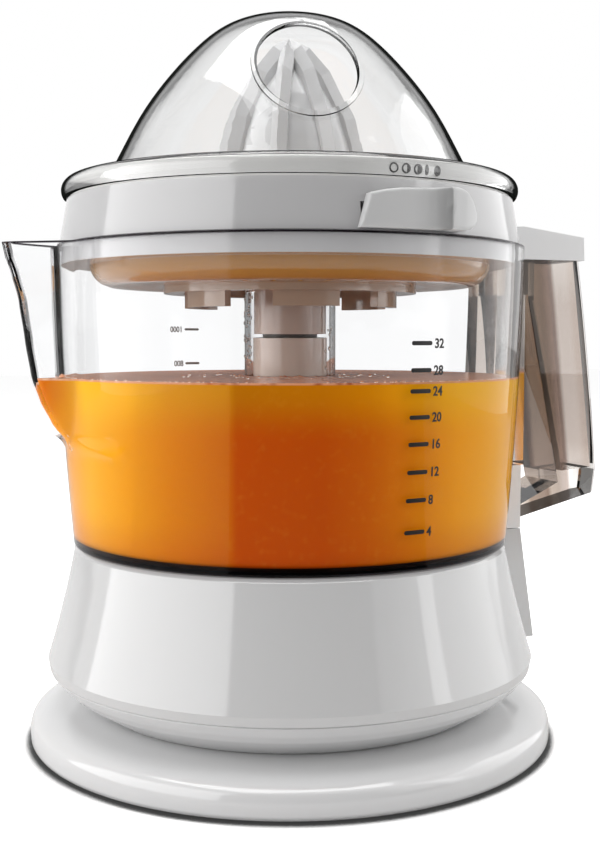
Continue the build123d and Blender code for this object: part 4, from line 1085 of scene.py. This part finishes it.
across_at = [0, 0, 0.004, 0.012, 0.024]
across_at += [0.04 + step * 0.02 for step in range(47)]
across_at += [0.976, 0.988, 0.996, 1, 1]
up_at = [0, 0, 0.012, 0.035, 0.07, 0.11, 0.2, 0.35, 0.5]
up_at += [0.65, 0.8, 0.89, 0.93, 0.965, 0.988, 1, 1]
columns, rows = len(across_at) - 1, len(up_at) - 1
halves = []
for outside in (True, False):
    bpy.ops.object.select_all(action="DESELECT")
    bpy.ops.mesh.primitive_grid_add(x_subdivisions=columns, y_subdivisions=rows, size=2)
    half = bpy.context.object
    for point in half.data.vertices:
        column = round((point.co.x + 1) / 2 * columns)
        row = round((point.co.y + 1) / 2 * rows)
        within = 0 < column < columns and 0 < row < rows
        point.co = lever_point(across_at[column], up_at[row], outside and within)
    halves.append(half)
lever = joined("lever_moulding", halves)
edited_alone(lever)
bpy.ops.mesh.remove_doubles(threshold=1e-6)
bpy.ops.mesh.normals_make_consistent(inside=False)
bpy.ops.object.mode_set(mode="OBJECT")
bpy.ops.object.shade_smooth_by_angle(angle=math.radians(35))
dressed(lever, "pulp_control", lever_white, "white_plastic", "pulp_lever")


# Fineness marks: five graded rings printed in black on the rim above the lever, from open to full.
# They show how far the basket's slots are turned over the bowl's.
ring_r, ring_line, ring_breadth = 1.05, 0.3, 1.35
rim_side_r = 72.8
ring_z = collector_high.z * 1000 - 1.95


def printed_ring(bearing, filled_from, narrow):
    """Ring, filled to the right of a line or all over, or narrowed to an oval."""
    solid = filled_from is not None and filled_from <= -ring_r
    fill = "TRIFAN" if solid else "NGON"
    bpy.ops.object.select_all(action="DESELECT")
    bpy.ops.mesh.primitive_circle_add(vertices=36, radius=ring_r, fill_type=fill)
    ring = bpy.context.object
    pieces = [ring]
    bpy.ops.object.mode_set(mode="EDIT")
    if not solid:
        bpy.ops.mesh.inset(thickness=ring_line, depth=0)
        bpy.ops.mesh.delete(type="FACE")
    bpy.ops.object.mode_set(mode="OBJECT")
    if filled_from is not None and not solid:
        bpy.ops.object.select_all(action="DESELECT")
        inner_r = ring_r - ring_line
        bpy.ops.mesh.primitive_circle_add(vertices=36, radius=inner_r, fill_type="TRIFAN")
        bpy.ops.object.mode_set(mode="EDIT")
        bpy.ops.mesh.bisect(plane_co=(filled_from, 0, 0), plane_no=(1, 0, 0), clear_inner=True)
        bpy.ops.object.mode_set(mode="OBJECT")
        pieces.append(bpy.context.object)
    for piece in pieces:
        edited_alone(piece)
        bpy.ops.transform.resize(value=(narrow * ring_breadth, 1, 1), center_override=(0, 0, 0))
        bpy.ops.object.mode_set(mode="OBJECT")
        thickened(piece)
        wrapped(piece, bearing, ring_z, lambda z: rim_side_r)
    return pieces


ring_marks = (
    (1.8, None, 1.0),
    (4.9, 0.25, 1.0),
    (8.0, -0.1, 1.0),
    (10.4, -1.5, 0.42),
    (13.4, -1.5, 0.8),
)
marks = []
for bearing, filled_from, narrow in ring_marks:
    marks += printed_ring(bearing, filled_from, narrow)
dressed(joined("fineness_marks", marks), "strainer", print_ink, "switch_plastic")


# Reamer: two white ribbed cones, the large one dropped over the small, above a sleeve that turns in
# the collector's hub, tinted warm as painted juice-coloured light. A spigot below the sleeve closes
# the gap to the tower's mouth; its dark colour is painted shade for that gap.
# Painted shade: the cones are a greyer copy of the white plastic, so that they read shaded under
# the dome.
cone_white_painted_shade = moulded("reamer_plastic", (0.66, 0.66, 0.665), (0.63, 0.63, 0.635), 0.10, glare=0.9)
coated(cone_white_painted_shade, "small_cone", "large_cone")
# Painted light: the sleeve is white plastic given a warm tone for the juice-coloured light in the
# chimney.
sleeve_painted_juice_light = moulded("sleeve_plastic", (0.66, 0.52, 0.44), (0.62, 0.48, 0.40), 0.12, glare=0.8)
coated(sleeve_painted_juice_light, "drive_sleeve")
sleeve_foot_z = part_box("drive_sleeve")[0].z
spigot = turned(
    "sleeve_spigot",
    sleeve_foot_z,
    [(8.4, -1.15, 0.2), (9.3, -1.15, 0.3), (9.3, 0.4), (8.4, 0.4)],
    steps=64,
)
# Painted shade: the spigot is dark so that the gap below the sleeve reads as a shadowed line.
spigot_painted_shade = moulded("dark_spigot_plastic", (0.10, 0.075, 0.06), (0.07, 0.05, 0.04), 0.4, 0.4, 200.0)
dressed(spigot, "cone_drive", spigot_painted_shade, "white_plastic")


# Dust cover: thin clear dome with a rimmed finger hole, moulded in one piece. It stands loose on
# the collector's rim, and its wall is painted dark where it turns away, a painted shade for what it
# refracts.
cover_tint, cover_painted_edge_shade = (0.955, 0.958, 0.958), (0.012, 0.013, 0.012)
thin_clear = clear_plastic(
    "clear_cover_plastic", cover_tint, cover_painted_edge_shade, 0.68, 0.86, outline_from=0.76
)
coated(thin_clear, "dust_cover")
